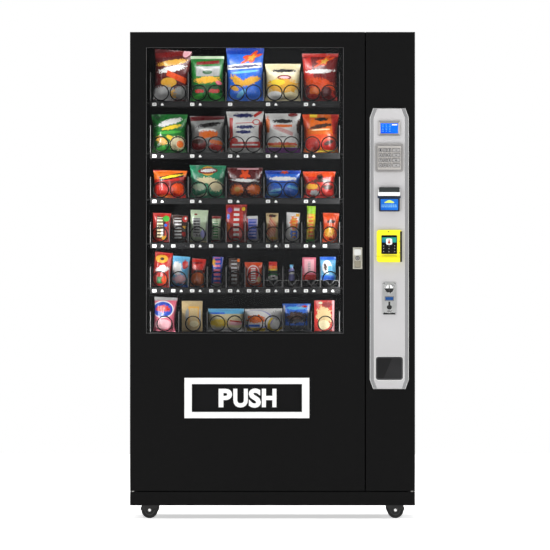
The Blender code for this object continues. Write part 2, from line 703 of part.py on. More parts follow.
def make_payment_door():
    hinge_x = RIGHT - HINGE_INSET
    axis = (hinge_x, FRONT + HINGE_INSET, DOOR_BOTTOM)
    bm = bmesh.new()
    add_box(bm, (PAYMENT_LEFT, RIGHT), (FRONT, DOOR_BACK), (DOOR_BOTTOM, TOTAL_HEIGHT))
    door = from_bmesh("payment_door", bm, axis, "satin_black")
    bm = bmesh.new()
    add_box(
        bm,
        around(BEZEL_MIDDLE, BEZEL_WIDTH - 2 * BAY_CUTOUT_MARGIN),
        (FRONT - SEAM, DOOR_BACK + SEAM),
        (BEZEL_BOTTOM + BAY_CUTOUT_MARGIN, BEZEL_TOP - BAY_CUTOUT_MARGIN),
    )
    cut(door, from_bmesh("payment_cutout", bm))
    cut(door, hinge_bore("payment_hinge_bore", hinge_x))
    make_hinge_rod("payment_door_hinge_rod", hinge_x)


def bezel_outline(side_slope, end_slope):
    """Eight-cornered outline of the bezel, drawn in by a slope at its sides and ends."""
    half, corner = BEZEL_WIDTH / 2 - side_slope, BEZEL_CORNER_WIDTH
    top, bottom = BEZEL_TOP - end_slope, BEZEL_BOTTOM + end_slope
    rise = BEZEL_CORNER_HEIGHT - end_slope
    right = [(half, bottom + rise), (half, top - rise), (half - corner, top)]
    left = [(-x, z) for x, z in reversed(right)]
    lowest = [(corner - half, bottom), (half - corner, bottom)]
    return [(BEZEL_MIDDLE + x, z) for x, z in right + left + lowest]


def make_bezel():
    bm = bmesh.new()
    rings = []
    for y, slopes in ((BEZEL_BACK, (0, 0)), (BEZEL_FACE, (BEZEL_SLOPE, BEZEL_LIP))):
        rings.append([bm.verts.new((x, y, z)) for x, z in bezel_outline(*slopes)])
    for here in range(len(rings[0])):
        ahead = (here + 1) % len(rings[0])
        bm.faces.new((rings[0][here], rings[0][ahead], rings[1][ahead], rings[1][here]))
    for ring in rings:
        bm.faces.new(ring)
    bmesh.ops.recalc_face_normals(bm, faces=bm.faces)
    bezel = from_bmesh("control_bezel", bm, paint="bezel_grey")

    cup_middle = module_middle(CHANGE_DROP)
    cup_back = DOOR_BACK + CHANGE_CUP_DEPTH
    bm = bmesh.new()
    add_box(
        bm,
        around(BEZEL_MIDDLE, CHANGE_SIZE[0] + 2 * CHANGE_WALL),
        (BEZEL_FACE + BEZEL_RAISE / 2, cup_back),
        around(cup_middle, CHANGE_SIZE[1] + 2 * CHANGE_WALL),
    )
    join(bezel, from_bmesh("change_cup", bm))
    bm = bmesh.new()
    for size, middle in payment_modules():
        add_box(bm, around(BEZEL_MIDDLE, size[0]), (BEZEL_FACE - SEAM, FRONT), around(middle, size[1]))
    add_box(
        bm,
        around(BEZEL_MIDDLE, CHANGE_SIZE[0]),
        (BEZEL_FACE + CHANGE_SET_BACK + CHANGE_THICKNESS, cup_back - CHANGE_WALL),
        around(cup_middle, CHANGE_SIZE[1]),
    )
    add_box(
        bm,
        around(BEZEL_MIDDLE, COIN_CHUTE[0]),
        around(cup_back - CHANGE_WALL - COIN_CHUTE[1], COIN_CHUTE[1]),
        around(cup_middle + CHANGE_SIZE[1] / 2, 4 * CHANGE_WALL),
    )
    cut(bezel, from_bmesh("bezel_openings", bm))
    mouth = front_profile(
        "change_mouth",
        rounded_rectangle((BEZEL_MIDDLE, cup_middle), CHANGE_SIZE, CHANGE_CORNER),
        (BEZEL_FACE - SEAM, BEZEL_FACE + CHANGE_SET_BACK + CHANGE_THICKNESS + SEAM),
    )
    cut(bezel, mouth)
    bm = bmesh.new()
    bore = CHANGE_PIN_RADIUS + HINGE_BORE_CLEARANCE
    add_cylinder(bm, change_axis(), bore, CHANGE_SIZE[0] + 2 * CHANGE_PIN_LENGTH, "X", 12)
    cut(bezel, from_bmesh("change_pin_bores", bm))


def change_axis():
    """Middle of the change door's hinge pin."""
    z = module_middle(CHANGE_DROP) + CHANGE_SIZE[1] / 2 - CHANGE_PIN_DROP
    return (BEZEL_MIDDLE, BEZEL_FACE + CHANGE_SET_BACK + CHANGE_THICKNESS / 2, z)


def make_change_door():
    size = [side - 2 * CHANGE_CLEARANCE for side in CHANGE_SIZE]
    outline = rounded_rectangle((BEZEL_MIDDLE, module_middle(CHANGE_DROP)), size, CHANGE_CORNER)
    y = around(change_axis()[1], CHANGE_THICKNESS)
    door = front_profile("change_door", outline, y, change_axis(), "smoked_plastic")
    bm = bmesh.new()
    length = CHANGE_SIZE[0] + 2 * (CHANGE_PIN_LENGTH - CHANGE_CLEARANCE)
    add_cylinder(bm, change_axis(), CHANGE_PIN_RADIUS, length, "X", 12)
    join(door, from_bmesh("change_pin", bm))


def make_display():
    middle = module_middle(DISPLAY_DROP)
    face = MODULE_BACK_OF_FLANGE - DISPLAY_PROUD
    unit = make_module("display_unit", DISPLAY_SIZE, middle, DISPLAY_PROUD, DISPLAY_DEPTH, "keypad_grey")
    bm = bmesh.new()
    add_box(
        bm,
        around(BEZEL_MIDDLE, SCREEN_SIZE[0]),
        (face - SEAM, face + SCREEN_RECESS),
        around(middle, SCREEN_SIZE[1]),
    )
    cut(unit, from_bmesh("screen_recess", bm))


def make_module(name, size, middle, proud, depth, paint):
    """A module with a flange on the bezel's face and a body that goes back through it."""
    flange_back = MODULE_BACK_OF_FLANGE
    bm = bmesh.new()
    add_box(bm, around(BEZEL_MIDDLE, size[0]), (flange_back - proud, flange_back), around(middle, size[1]))
    module = from_bmesh(name, bm, paint=paint)
    join(module, module_body(name, size, middle, proud / 2, depth))
    return module


def module_body(name, size, middle, overlap, depth):
    lip = 2 * MODULE_LIP
    y = (MODULE_BACK_OF_FLANGE - overlap, BEZEL_BACK + depth)
    bm = bmesh.new()
    add_box(bm, around(BEZEL_MIDDLE, size[0] - lip), y, around(middle, size[1] - lip))
    return from_bmesh(f"{name}_body", bm)


def key_places():
    """(name, width, x, z) of every key, rows from the top."""
    middle = module_middle(KEYPAD_DROP)
    for row in range(KEY_ROWS):
        z = middle + ((KEY_ROWS - 1) / 2 - row) * KEY_ROW_PITCH
        for column in range(3):
            x = BEZEL_MIDDLE + KEY_FIRST_COLUMN + column * KEY_COLUMN_PITCH
            yield f"key_row{row + 1}_column{column + 1}", KEY_WIDTH, x, z
        yield f"key_row{row + 1}_wide", WIDE_KEY_WIDTH, BEZEL_MIDDLE + WIDE_KEY_COLUMN, z


def make_keypad():
    middle = module_middle(KEYPAD_DROP)
    face = MODULE_BACK_OF_FLANGE - KEYPAD_PROUD
    key_back = face - KEY_PROUD + KEY_LENGTH
    housing = make_module("keypad_housing", KEYPAD_SIZE, middle, KEYPAD_PROUD, KEYPAD_DEPTH, "keypad_grey")
    bm = bmesh.new()
    for name, width, x, z in key_places():
        hole = (width + 2 * KEY_CLEARANCE, KEY_HEIGHT + 2 * KEY_CLEARANCE)
        floor = key_back + KEY_TRAVEL + KEY_CLEARANCE
        add_box(bm, around(x, hole[0]), (face - SEAM, floor), around(z, hole[1]))
        key = bmesh.new()
        add_box(key, around(x, width), (face - KEY_PROUD, key_back), around(z, KEY_HEIGHT))
        from_bmesh(name, key, (x, face, z), "key_grey")
    cut(housing, from_bmesh("key_holes", bm))


def make_bill_acceptor():
    middle = module_middle(BILL_DROP)
    top, bottom = middle + BILL_SIZE[1] / 2, middle - BILL_SIZE[1] / 2
    back = MODULE_BACK_OF_FLANGE
    slot_top = top - BILL_HOOD_SLOPE - BILL_SLOT[1]
    outline = [
        (back, bottom),
        (back, top),
        (back - BILL_TOP_REACH, top),
        (back - BILL_REACH, top - BILL_HOOD_SLOPE * 0.6),
        (back - BILL_REACH, top - BILL_HOOD_SLOPE),
        (back - BILL_PLATE_REACH, slot_top),
        (back - BILL_PLATE_REACH, bottom + BILL_PLATE_REACH / 2),
        (back - BILL_PLATE_REACH / 2, bottom),
    ]
    unit = side_profile("bill_acceptor", outline, around(BEZEL_MIDDLE, BILL_SIZE[0]), paint="bill_green")
    join(unit, module_body("bill_acceptor", BILL_SIZE, middle, BILL_PLATE_REACH / 2, PAYMENT_BODY_DEPTH))
    bm = bmesh.new()
    add_box(
        bm,
        around(BEZEL_MIDDLE, BILL_SLOT[0]),
        (back - 2 * BILL_REACH, back + BILL_SLOT_DEPTH),
        (slot_top - BILL_SLOT[1], slot_top),
    )
    cut(unit, from_bmesh("bill_slot", bm))


def make_card_reader():
    middle = module_middle(READER_DROP)
    top, bottom = middle + READER_SIZE[1] / 2, middle - READER_SIZE[1] / 2
    back = MODULE_BACK_OF_FLANGE
    ledge = bottom + READER_LEDGE_HEIGHT
    outline = [
        (back, bottom),
        (back, top),
        (back - READER_TOP_REACH, top),
        (back - READER_TOP_REACH, ledge),
        (back - READER_LEDGE_REACH, ledge - READER_LEDGE_HEIGHT / 4),
        (back - READER_LEDGE_REACH, bottom),
    ]
    unit = side_profile("card_reader", outline, around(BEZEL_MIDDLE, READER_SIZE[0]), paint="reader_yellow")
    join(unit, module_body("card_reader", READER_SIZE, middle, READER_TOP_REACH / 2, READER_DEPTH))


def make_coin_unit():
    middle = module_middle(COIN_DROP)
    face = MODULE_BACK_OF_FLANGE - COIN_PROUD
    back = BEZEL_BACK + PAYMENT_BODY_DEPTH
    unit = make_module("coin_unit", COIN_SIZE, middle, COIN_PROUD, PAYMENT_BODY_DEPTH, "brushed_steel")
    bm = bmesh.new()
    add_box(
        bm,
        around(BEZEL_MIDDLE, COIN_MECHANISM_WIDTH),
        (DOOR_BACK, back),
        around(middle, COIN_SIZE[1] + COIN_MECHANISM_WIDTH),
    )
    join(unit, from_bmesh("coin_mechanism", bm))

    entry = middle + COIN_ENTRY_RISE
    bm = bmesh.new()
    recess = 2 * COIN_ENTRY_RECESS
    add_cylinder(bm, (BEZEL_MIDDLE, face, entry), COIN_ENTRY_RADIUS, recess, "Y", 32)
    cut(unit, from_bmesh("coin_entry", bm))
    button = middle - REJECT_DROP
    button_back = face - REJECT_PROUD + REJECT_LENGTH
    hole = [side + 2 * REJECT_CLEARANCE for side in REJECT_SIZE]
    bm = bmesh.new()
    slot = (face - SEAM, face + COIN_SLOT_DEPTH)
    add_box(bm, around(BEZEL_MIDDLE, COIN_SLOT[0]), slot, around(entry, COIN_SLOT[1]))
    add_box(
        bm,
        around(BEZEL_MIDDLE, hole[0]),
        (face - SEAM, button_back + REJECT_TRAVEL + REJECT_CLEARANCE),
        around(button, hole[1]),
    )
    cut(unit, from_bmesh("coin_holes", bm))
    bm = bmesh.new()
    add_box(
        bm,
        around(BEZEL_MIDDLE, REJECT_SIZE[0]),
        (face - REJECT_PROUD, button_back),
        around(button, REJECT_SIZE[1]),
    )
    from_bmesh("coin_reject_button", bm, (BEZEL_MIDDLE, face, button), "button_blue")


# ---------------------------------------------------------------- trays and spirals
def lane_edges(row):
    """The x of each divider of a tray, its two sides included."""
    shares = [1] * WIDE_LANES
    if row in (3, 4):
        shares = [1] * NARROW_LANES
    elif row == 5:
        shares = LOWEST_LANE_SHARES
    ends = [sum(shares[:count]) / sum(shares) for count in range(len(shares) + 1)]
    return [TRAY_LEFT + TRAY_WIDTH * end for end in ends]


def divider_height(row):
    """A divider ends a hand's clearance below the price rail of the tray above."""
    space = TRAY_LEVELS[row - 1] - TRAY_LEVELS[row] if row else TOP_TRAY_HEADROOM
    return space - PRICE_RAIL_HEIGHT - DIVIDER_TOP_CLEARANCE


def make_tray(row):
    level = TRAY_LEVELS[row]
    under = level - TRAY_FLOOR
    outline = [
        (TRAY_FRONT, level),
        (TRAY_FRONT, level - PRICE_RAIL_HEIGHT),
        (TRAY_FRONT + PRICE_RAIL_DEPTH, level - PRICE_RAIL_HEIGHT),
        (TRAY_FRONT + PRICE_RAIL_DEPTH, under),
        (TRAY_BACK, under),
        (TRAY_BACK, level + MOTOR_RAIL_HEIGHT),
        (MOTOR_RAIL_FRONT, level + MOTOR_RAIL_HEIGHT),
        (MOTOR_RAIL_FRONT, level),
    ]
    origin = (TRAY_MIDDLE, TRAY_FRONT, level)
    tray = side_profile(f"tray_{row + 1}", outline, (TRAY_LEFT, TRAY_RIGHT), origin, "tray_grey")
    bm = bmesh.new()
    half = DIVIDER_THICKNESS / 2
    for x in lane_edges(row):
        middle = min(max(x, TRAY_LEFT + half), TRAY_RIGHT - half)
        add_box(
            bm,
            around(middle, DIVIDER_THICKNESS),
            (TRAY_FRONT + PRICE_RAIL_DEPTH / 2, MOTOR_RAIL_FRONT + SEAM),
            (level - TRAY_FLOOR / 2, level + divider_height(row)),
        )
    join(tray, from_bmesh(f"dividers_{row + 1}", bm))


def make_spiral(name, x, level, radius, hand):
    """One wire spiral on its motor's axis; hand is 1 or -1 for the way it winds."""
    reach = radius - SPIRAL_WIRE_RADIUS
    start = TRAY_FRONT + SPIRAL_END_CLEARANCE
    length = MOTOR_RAIL_FRONT - SPIRAL_TAIL - start
    count = SPIRAL_TURNS * SPIRAL_POINTS_A_TURN
    points = []
    for step in range(count + 1):
        angle = -math.pi / 2 + hand * 2 * math.pi * step / SPIRAL_POINTS_A_TURN
        points.append((reach * math.cos(angle), length * step / count, reach * math.sin(angle)))
    points.append((0.0, length, 0.0))
    points.append((0.0, length + SPIRAL_TAIL - GAP, 0.0))
    curve = bpy.data.curves.new(name, "CURVE")
    curve.dimensions = "3D"
    curve.bevel_depth = SPIRAL_WIRE_RADIUS
    curve.bevel_resolution = 0
    curve.use_fill_caps = True
    spline = curve.splines.new("POLY")
    spline.points.add(len(points) - 1)
    for point, place_of in zip(spline.points, points):
        point.co = (*place_of, 1.0)
    curve.materials.append(materials["spiral_black"])
    obj = bpy.data.objects.new(name, curve)
    obj.location = (x, start, level + SPIRAL_FLOOR_CLEARANCE + radius)
    parts.objects.link(obj)


def make_spirals():
    """A working pair on the middle lane of each wide tray, and one spiral on each narrow one."""
    offset = PAIR_SPIRAL_RADIUS + PAIR_GAP / 2
    for row in range(3):
        left, right = lane_edges(row)[2:4]
        for side, hand in (("left", -1), ("right", 1)):
            x = (left + right) / 2 + hand * offset
            make_spiral(f"spiral_{row + 1}_{side}", x, TRAY_LEVELS[row], PAIR_SPIRAL_RADIUS, hand)
    for row, lane in ((3, 4), (4, 4), (5, 0)):
        left, right = lane_edges(row)[lane:lane + 2]
        make_spiral(f"spiral_{row + 1}", (left + right) / 2, TRAY_LEVELS[row], NARROW_SPIRAL_RADIUS, 1)


# ---------------------------------------------------------------- the whole machine
clear_scene()
parts = make_collection("snack_vending_machine")
cutters = make_collection("cutters")
materials = {paint: make_paint(paint) for paint in PAINTS}
make_cabinet()
make_partition()
make_plinth()
make_delivery_bin()
for caster in caster_places():
    make_caster(*caster)
make_main_door()
make_flap_surround()
make_push_flap()
make_lock()
make_payment_door()
make_bezel()
make_change_door()
make_display()
make_keypad()
make_bill_acceptor()
make_card_reader()
make_coin_unit()
for tray_row in range(len(TRAY_LEVELS)):
    make_tray(tray_row)
make_spirals()
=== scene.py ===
import json
import math
import random

import bmesh
import bpy
from mathutils import Matrix, Vector


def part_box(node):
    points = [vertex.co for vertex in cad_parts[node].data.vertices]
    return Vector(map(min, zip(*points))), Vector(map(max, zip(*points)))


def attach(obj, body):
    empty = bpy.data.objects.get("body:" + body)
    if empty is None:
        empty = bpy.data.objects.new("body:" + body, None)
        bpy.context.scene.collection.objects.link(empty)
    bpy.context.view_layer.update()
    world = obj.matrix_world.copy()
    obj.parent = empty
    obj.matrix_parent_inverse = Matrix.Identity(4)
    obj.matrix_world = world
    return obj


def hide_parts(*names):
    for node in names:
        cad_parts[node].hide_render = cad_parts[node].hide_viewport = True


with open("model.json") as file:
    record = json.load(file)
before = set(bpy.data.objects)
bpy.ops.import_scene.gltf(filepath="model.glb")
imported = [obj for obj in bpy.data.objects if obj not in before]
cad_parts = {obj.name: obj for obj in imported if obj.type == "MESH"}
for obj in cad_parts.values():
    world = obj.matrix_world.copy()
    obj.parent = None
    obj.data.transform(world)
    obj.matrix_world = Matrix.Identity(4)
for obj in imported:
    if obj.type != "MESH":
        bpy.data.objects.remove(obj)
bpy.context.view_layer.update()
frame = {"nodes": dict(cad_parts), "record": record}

scene = bpy.context.scene
nodes = frame["nodes"]


# ---------------------------------------------------------------- materials
class Paint:
    """A node material being built: plain numbers are set on sockets, and sockets are linked."""

    def __init__(self, name):
        self.material = bpy.data.materials.new(name)
        self.material.use_nodes = True
        self.tree = self.material.node_tree
        self.shader = self.tree.nodes["Principled BSDF"]
        self.object_space = self.add("TexCoord").outputs["Object"]

    def feed(self, socket, value):
        if isinstance(value, bpy.types.NodeSocket):
            self.tree.links.new(value, socket)
        elif isinstance(value, (tuple, list)) and socket.type == "RGBA":
            socket.default_value = (*value, 1.0)
        else:
            socket.default_value = value

    def add(self, kind, inputs=None, **settings):
        node = self.tree.nodes.new("ShaderNode" + kind)
        for key, value in settings.items():
            setattr(node, key, value)
        for key, value in (inputs or {}).items():
            self.feed(node.inputs[key], value)
        return node

    def math(self, operation, a, b=0.0, clamp=False):
        return self.add("Math", {0: a, 1: b}, operation=operation, use_clamp=clamp).outputs[0]

    def mix(self, share, a, b, blend="MIX"):
        node = self.add("Mix", data_type="RGBA", blend_type=blend)
        for index, value in ((0, share), (6, a), (7, b)):
            self.feed(node.inputs[index], value)
        return node.outputs[2]

    def stretch(self, value, low, high, to_low=0.0, to_high=1.0):
        inputs = {"Value": value, "From Min": low, "From Max": high, "To Min": to_low, "To Max": to_high}
        return self.add("MapRange", inputs, clamp=True).outputs[0]

    def noise(self, scale, detail=3.0, across=(1.0, 1.0, 1.0), roughness=0.55):
        vector = self.add("Mapping", {"Vector": self.object_space, "Scale": across}).outputs[0]
        inputs = {"Vector": vector, "Scale": scale, "Detail": detail, "Roughness": roughness}
        return self.add("TexNoise", inputs).outputs[0]

    def set(self, **sockets):
        for name, value in sockets.items():
            self.feed(self.shader.inputs[name.replace("_", " ").replace("Ior", "IOR")], value)

    def bump(self, height, strength, distance=0.0005):
        inputs = {"Height": height, "Strength": strength, "Distance": distance}
        self.feed(self.shader.inputs["Normal"], self.add("Bump", inputs).outputs[0])


def surface(name, colour, rough, metal=0.0, blotch=0.12, grain=(900.0, 0.06), brush=None, scuff=0.25, dust=0.0,
            specular=0.5, coat=0.0, flank_painted_shade=None):
    """A worked surface: uneven colour, fine grain or brush marks, thin scuffs, dust low down, and where asked a painted
    shade on faces turned left or right.
    """
    paint = Paint(name)
    cloudy = paint.noise(9.0, 5.0)
    dark = tuple(c * (1.0 - blotch) for c in colour)
    light = tuple(min(1.0, c * (1.0 + blotch)) for c in colour)
    tone = paint.mix(paint.stretch(cloudy, 0.35, 0.65), dark, light)
    across = brush or (1.0, 1.0, 1.0)
    fine = paint.noise(grain[0], 2.0, across)
    scratches = paint.noise(34.0, 6.0, (9.0, 9.0, 0.7), 0.7)
    worn = paint.math("MULTIPLY", paint.stretch(scratches, 0.66, 0.74), scuff)
    pale = tuple(c + (0.22 - c) * 0.25 if c < 0.2 else c * 0.75 for c in colour)
    tone = paint.mix(worn, tone, pale)
    if dust:
        height = paint.add("SeparateXYZ", {0: paint.object_space}).outputs[2]
        low_down = paint.stretch(height, 0.05, 0.45, dust, 0.0)
        patchy = paint.math("MULTIPLY", low_down, paint.stretch(paint.noise(60.0, 6.0), 0.35, 0.75))
        tone = paint.mix(patchy, tone, (0.20, 0.19, 0.17))
    # Painted shade: faces turned left or right take the darker flank colour, standing in for the shade on a moulding's
    # sloping sides.
    if flank_painted_shade:
        facing = paint.add("SeparateXYZ", {0: paint.add("TexCoord").outputs["Normal"]}).outputs[0]
        tone = paint.mix(paint.stretch(paint.math("ABSOLUTE", facing), 0.35, 0.5), tone, flank_painted_shade)
    spread = 0.006 + min(0.044, blotch * 0.5)
    uneven = paint.math("ADD", paint.stretch(cloudy, 0.3, 0.7, -spread, spread), paint.math("MULTIPLY", worn, 0.3))
    uneven = paint.math("ADD", uneven, paint.stretch(fine, 0.3, 0.7, rough - 0.04, rough + 0.04), clamp=True)
    paint.set(Base_Color=tone, Roughness=uneven, Metallic=metal, Specular_Ior_Level=specular)
    if coat:
        paint.set(Coat_Weight=coat, Coat_Roughness=0.08)
    paint.bump(fine, grain[1])
    return paint.material


def glass_paint():
    """Clear glazing with faint smears; a slanting band of painted reflection crosses it as on the real pane."""
    paint = Paint("window_glazing")
    parts = paint.add("SeparateXYZ", {0: paint.object_space})
    # Painted reflection: a slanting band where the glazing is a little less clear, standing in for a reflection across
    # the pane.
    slant = paint.math("ADD", parts.outputs[0], paint.math("MULTIPLY", parts.outputs[2], -0.48))
    painted_reflection_band = paint.stretch(slant, -0.988, -0.976, 0.015, 0.035)
    smears = paint.stretch(paint.noise(7.0, 6.0, (1.0, 1.0, 2.5)), 0.5, 0.8, 0.0, 0.008)
    paint.set(Base_Color=(0.16, 0.165, 0.17), Roughness=0.04, Specular_Ior_Level=0.5)
    paint.set(Alpha=paint.math("ADD", painted_reflection_band, smears))
    return paint.material


def screen_paint(name, low, high, glow):
    """A lit panel whose colour runs from one side to the other, with fine scan lines."""
    paint = Paint(name)
    spot = paint.add("SeparateXYZ", {0: paint.add("TexCoord").outputs["Generated"]})
    lines = paint.stretch(paint.noise(900.0, 0.0, (0.02, 0.02, 1.0)), 0.3, 0.7, 0.88, 1.0)
    tone = paint.mix(paint.math("ADD", spot.outputs[0], spot.outputs[2], clamp=True), low, high)
    tone = paint.mix(1.0, tone, lines, "MULTIPLY")
    paint.set(Base_Color=tone, Roughness=0.2, Emission_Color=tone, Emission_Strength=glow)
    return paint.material


paints = {
    "cabinet_black": surface("satin_black_powder_coat", (0.0026, 0.0026, 0.0027), 0.56, blotch=0.0, grain=(700.0, 0.10),
                             scuff=0.0, dust=0.006, specular=0.10),
    "liner_black": surface("matt_black_liner", (0.0045, 0.0045, 0.005), 0.70, specular=0.2, dust=0.05),
    "steel": surface("plain_steel", (0.50, 0.49, 0.47), 0.32, 1.0, brush=(1.0, 1.0, 0.03)),
    "white_plastic": surface("moulded_white", (0.86, 0.86, 0.85), 0.38, blotch=0.02, scuff=0.10),
    "smoked_plastic": surface("smoked_black_plastic", (0.003, 0.003, 0.0033), 0.40, scuff=0.06, specular=0.12),
    "lock_steel": surface("lock_brushed_steel", (0.60, 0.58, 0.50), 0.34, 1.0, brush=(1.0, 1.0, 0.04)),
    # The bezel's sloping sides get their darker grey as painted shade.
    "bezel_grey": surface("light_grey_moulding", (0.50, 0.492, 0.497), 0.48, blotch=0.02, scuff=0.08,
                          grain=(1400.0, 0.08), flank_painted_shade=(0.27, 0.27, 0.275)),
    "display_frame": surface("grey_frame_plastic", (0.36, 0.34, 0.33), 0.42, blotch=0.05),
    "keypad_metal": surface("anodised_grey", (0.30, 0.29, 0.285), 0.42, 0.35, blotch=0.04,
                            brush=(0.05, 1.0, 1.0), grain=(500.0, 0.05)),
    "key_grey": surface("key_grey_plastic", (0.36, 0.35, 0.345), 0.40, blotch=0.05),
    "bill_acceptor_plastic": surface(
        "dark_green_grey_plastic", (0.008, 0.013, 0.012), 0.34, specular=0.25, grain=(1200.0, 0.12)),
    "reader_yellow": surface("yellow_moulding", (0.93, 0.84, 0.012), 0.35, blotch=0.03, scuff=0.10, coat=0.15),
    "coin_steel": surface("coin_plate_steel", (0.58, 0.585, 0.58), 0.34, 1.0, brush=(1.0, 1.0, 0.03)),
    "button_blue": surface("blue_lens_plastic", (0.012, 0.075, 0.26), 0.22, blotch=0.10, coat=0.4),
    "tray_grey": surface("tray_dark_grey_coat", (0.0065, 0.0065, 0.0068), 0.48, 0.0, scuff=0.06, specular=0.15),
    "spiral_black": surface("coated_black_wire", (0.003, 0.003, 0.003), 0.40, scuff=0.05, specular=0.15),
    "caster_black": surface("caster_black_coat", (0.007, 0.007, 0.007), 0.40, dust=0.10),
    "wheel_rubber": surface("tread_rubber", (0.012, 0.012, 0.013), 0.75, dust=0.15),
    "window_glass": glass_paint(),
}
extra = {
    "chrome": surface("bright_metal", (0.80, 0.80, 0.79), 0.16, 1.0, blotch=0.04),
    # Pale grey for rim lines: painted highlights along the bezel's edges and round the change mouth.
    "rim": surface("rim_painted_highlight", (0.72, 0.72, 0.71), 0.30, 0.3, blotch=0.02),
    "edge": surface("divider_edge_grey", (0.16, 0.16, 0.16), 0.45, 0.3),
    "label": surface("label_card", (0.52, 0.52, 0.51), 0.55, blotch=0.03, scuff=0.05),
    "ink": surface("printed_ink", (0.012, 0.012, 0.014), 0.55),
    "grey_ink": surface("grey_printed_ink", (0.07, 0.07, 0.07), 0.5),
    "letter": surface("white_lettering", (0.90, 0.90, 0.89), 0.42, blotch=0.02, scuff=0.05),
    "wire": surface("grey_wire", (0.20, 0.20, 0.20), 0.35, 0.7),
    # Near black for holes, slots, the keyway and joints: partly the black of these parts and partly painted shade
    # inside the openings.
    "dark": surface("near_black_and_painted_recess_shade", (0.004, 0.004, 0.004), 0.6),
    "black_gloss": surface("black_gloss_plastic", (0.006, 0.006, 0.007), 0.12, coat=0.3),
    "navy": surface("navy_plastic", (0.008, 0.022, 0.06), 0.30),
    "blue_panel": screen_paint("blue_backlit_panel", (0.004, 0.10, 0.50), (0.01, 0.16, 0.66), 0.15),
    "pale_blue": surface("pale_blue_print", (0.22, 0.55, 0.85), 0.40),
    "arrow": surface("yellow_green_print", (0.72, 0.90, 0.16), 0.40),
    "screen": screen_paint("display_blue_light", (0.001, 0.05, 0.62), (0.002, 0.12, 0.85), 0.45),
    "screen_mark": surface("display_mark_light", (0.12, 0.42, 0.95), 0.3),
    "strip": screen_paint("reader_strip_light", (0.006, 0.10, 0.34), (0.02, 0.30, 0.24), 0.1),
    "olive": surface("reader_ledge_shade", (0.50, 0.46, 0.02), 0.45),
    "red_print": surface("red_print", (0.45, 0.05, 0.02), 0.5),
    "door_dark": surface("change_door_smoke", (0.011, 0.011, 0.0115), 0.36, scuff=0.03, specular=0.15),
    # A lighter copy of the smoked door colour: painted reflection on the change door.
    "door_painted_reflection": surface("change_door_painted_reflection", (0.022, 0.022, 0.023), 0.36, scuff=0.03, specular=0.15),
    # Dark and light greys; on the display frame they are painted shade on its top and bottom bars and painted light on
    # its sides.
    "bar_dark": surface("dark_grey_and_painted_frame_shade", (0.20, 0.195, 0.19), 0.45),
    "bar_light": surface("light_grey_and_painted_frame_light", (0.40, 0.385, 0.375), 0.45),
    "brass": surface("dull_brassy_steel", (0.26, 0.24, 0.18), 0.42, 0.3, brush=(1.0, 1.0, 0.04)),
    "silver": surface("bright_satin_steel", (0.70, 0.71, 0.68), 0.32, 0.25, brush=(1.0, 1.0, 0.04)),
    "panel_light": surface("keypad_panel", (0.50, 0.475, 0.45), 0.40, 0.3, blotch=0.04, brush=(0.05, 1.0, 1.0)),
    "trim": surface("window_trim_grey", (0.055, 0.055, 0.056), 0.45, 0.3, scuff=0.1),
    "door_rim": surface("change_door_rim", (0.068, 0.068, 0.070), 0.36, specular=0.2),
}
for row in frame["record"]["subparts"]:
    shape = nodes[row["node"]].data
    shape.materials.clear()
    shape.materials.append(paints[row["material_slot"]])


# ---------------------------------------------------------------- shape helpers
def finish_piece(obj, body):
    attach(obj, body)
    return obj


def soften(obj, width, segments=2):
    """Rounds the sharp edges a little, so that they catch the light."""
    bevel = obj.modifiers.new("soft_edges", "BEVEL")
    bevel.width = width
    bevel.segments = segments
    bevel.limit_method = "ANGLE"
    bevel.angle_limit = math.radians(38)
    bevel.harden_normals = False


def piece(name, bm, paint, body, edge=0.0, smooth=38.0):
    """A piece of the visual model from a bmesh drawn in the row frame."""
    bmesh.ops.recalc_face_normals(bm, faces=bm.faces)
    mesh = bpy.data.meshes.new(name)
    bm.to_mesh(mesh)
    bm.free()
    mesh.shade_smooth()
    mesh.set_sharp_from_angle(angle=math.radians(smooth))
    mesh.materials.append(paint)
    obj = bpy.data.objects.new(name, mesh)
    scene.collection.objects.link(obj)
    if edge:
        soften(obj, edge)
    return finish_piece(obj, body)


def add_plate(bm, outline, front, back):
    """A flat plate whose (x, z) outline runs from y front to y back."""
    rings = [[bm.verts.new((x, y, z)) for x, z in outline] for y in (front, back)]
    for here in range(len(outline)):
        ahead = (here + 1) % len(outline)
        bm.faces.new((rings[0][here], rings[0][ahead], rings[1][ahead], rings[1][here]))
    for ring in rings:
        bm.faces.new(ring)


def add_ring(bm, outer, inner, front, back):
    """A flat frame between two (x, z) outlines with the same number of points."""
    rings = [[bm.verts.new((x, y, z)) for x, z in line] for y in (front, back) for line in (outer, inner)]
    for here in range(len(outer)):
        ahead = (here + 1) % len(outer)
        for a, b in ((0, 1), (1, 3), (3, 2), (2, 0)):
            bm.faces.new((rings[a][here], rings[a][ahead], rings[b][ahead], rings[b][here]))


def rectangle(x, z):
    return [(x[0], z[0]), (x[1], z[0]), (x[1], z[1]), (x[0], z[1])]


def rounded(cx, cz, width, height, radius, steps=5):
    points = []
    for quarter, (side, up) in enumerate(((1, 1), (-1, 1), (-1, -1), (1, -1))):
        x, z = cx + side * (width / 2 - radius), cz + up * (height / 2 - radius)
        for step in range(steps + 1):
            angle = math.pi / 2 * (quarter + step / steps)
            points.append((x + radius * math.cos(angle), z + radius * math.sin(angle)))
    return points


def disc(cx, cz, radius, count=28):
    turns = [2 * math.pi * step / count for step in range(count)]
    return [(cx + radius * math.cos(turn), cz + radius * math.sin(turn)) for turn in turns]


def plates(name, outlines, front, back, paint, body, edge=0.0):
    bm = bmesh.new()
    for outline in outlines:
        add_plate(bm, outline, front, back)
    return piece(name, bm, paint, body, edge)


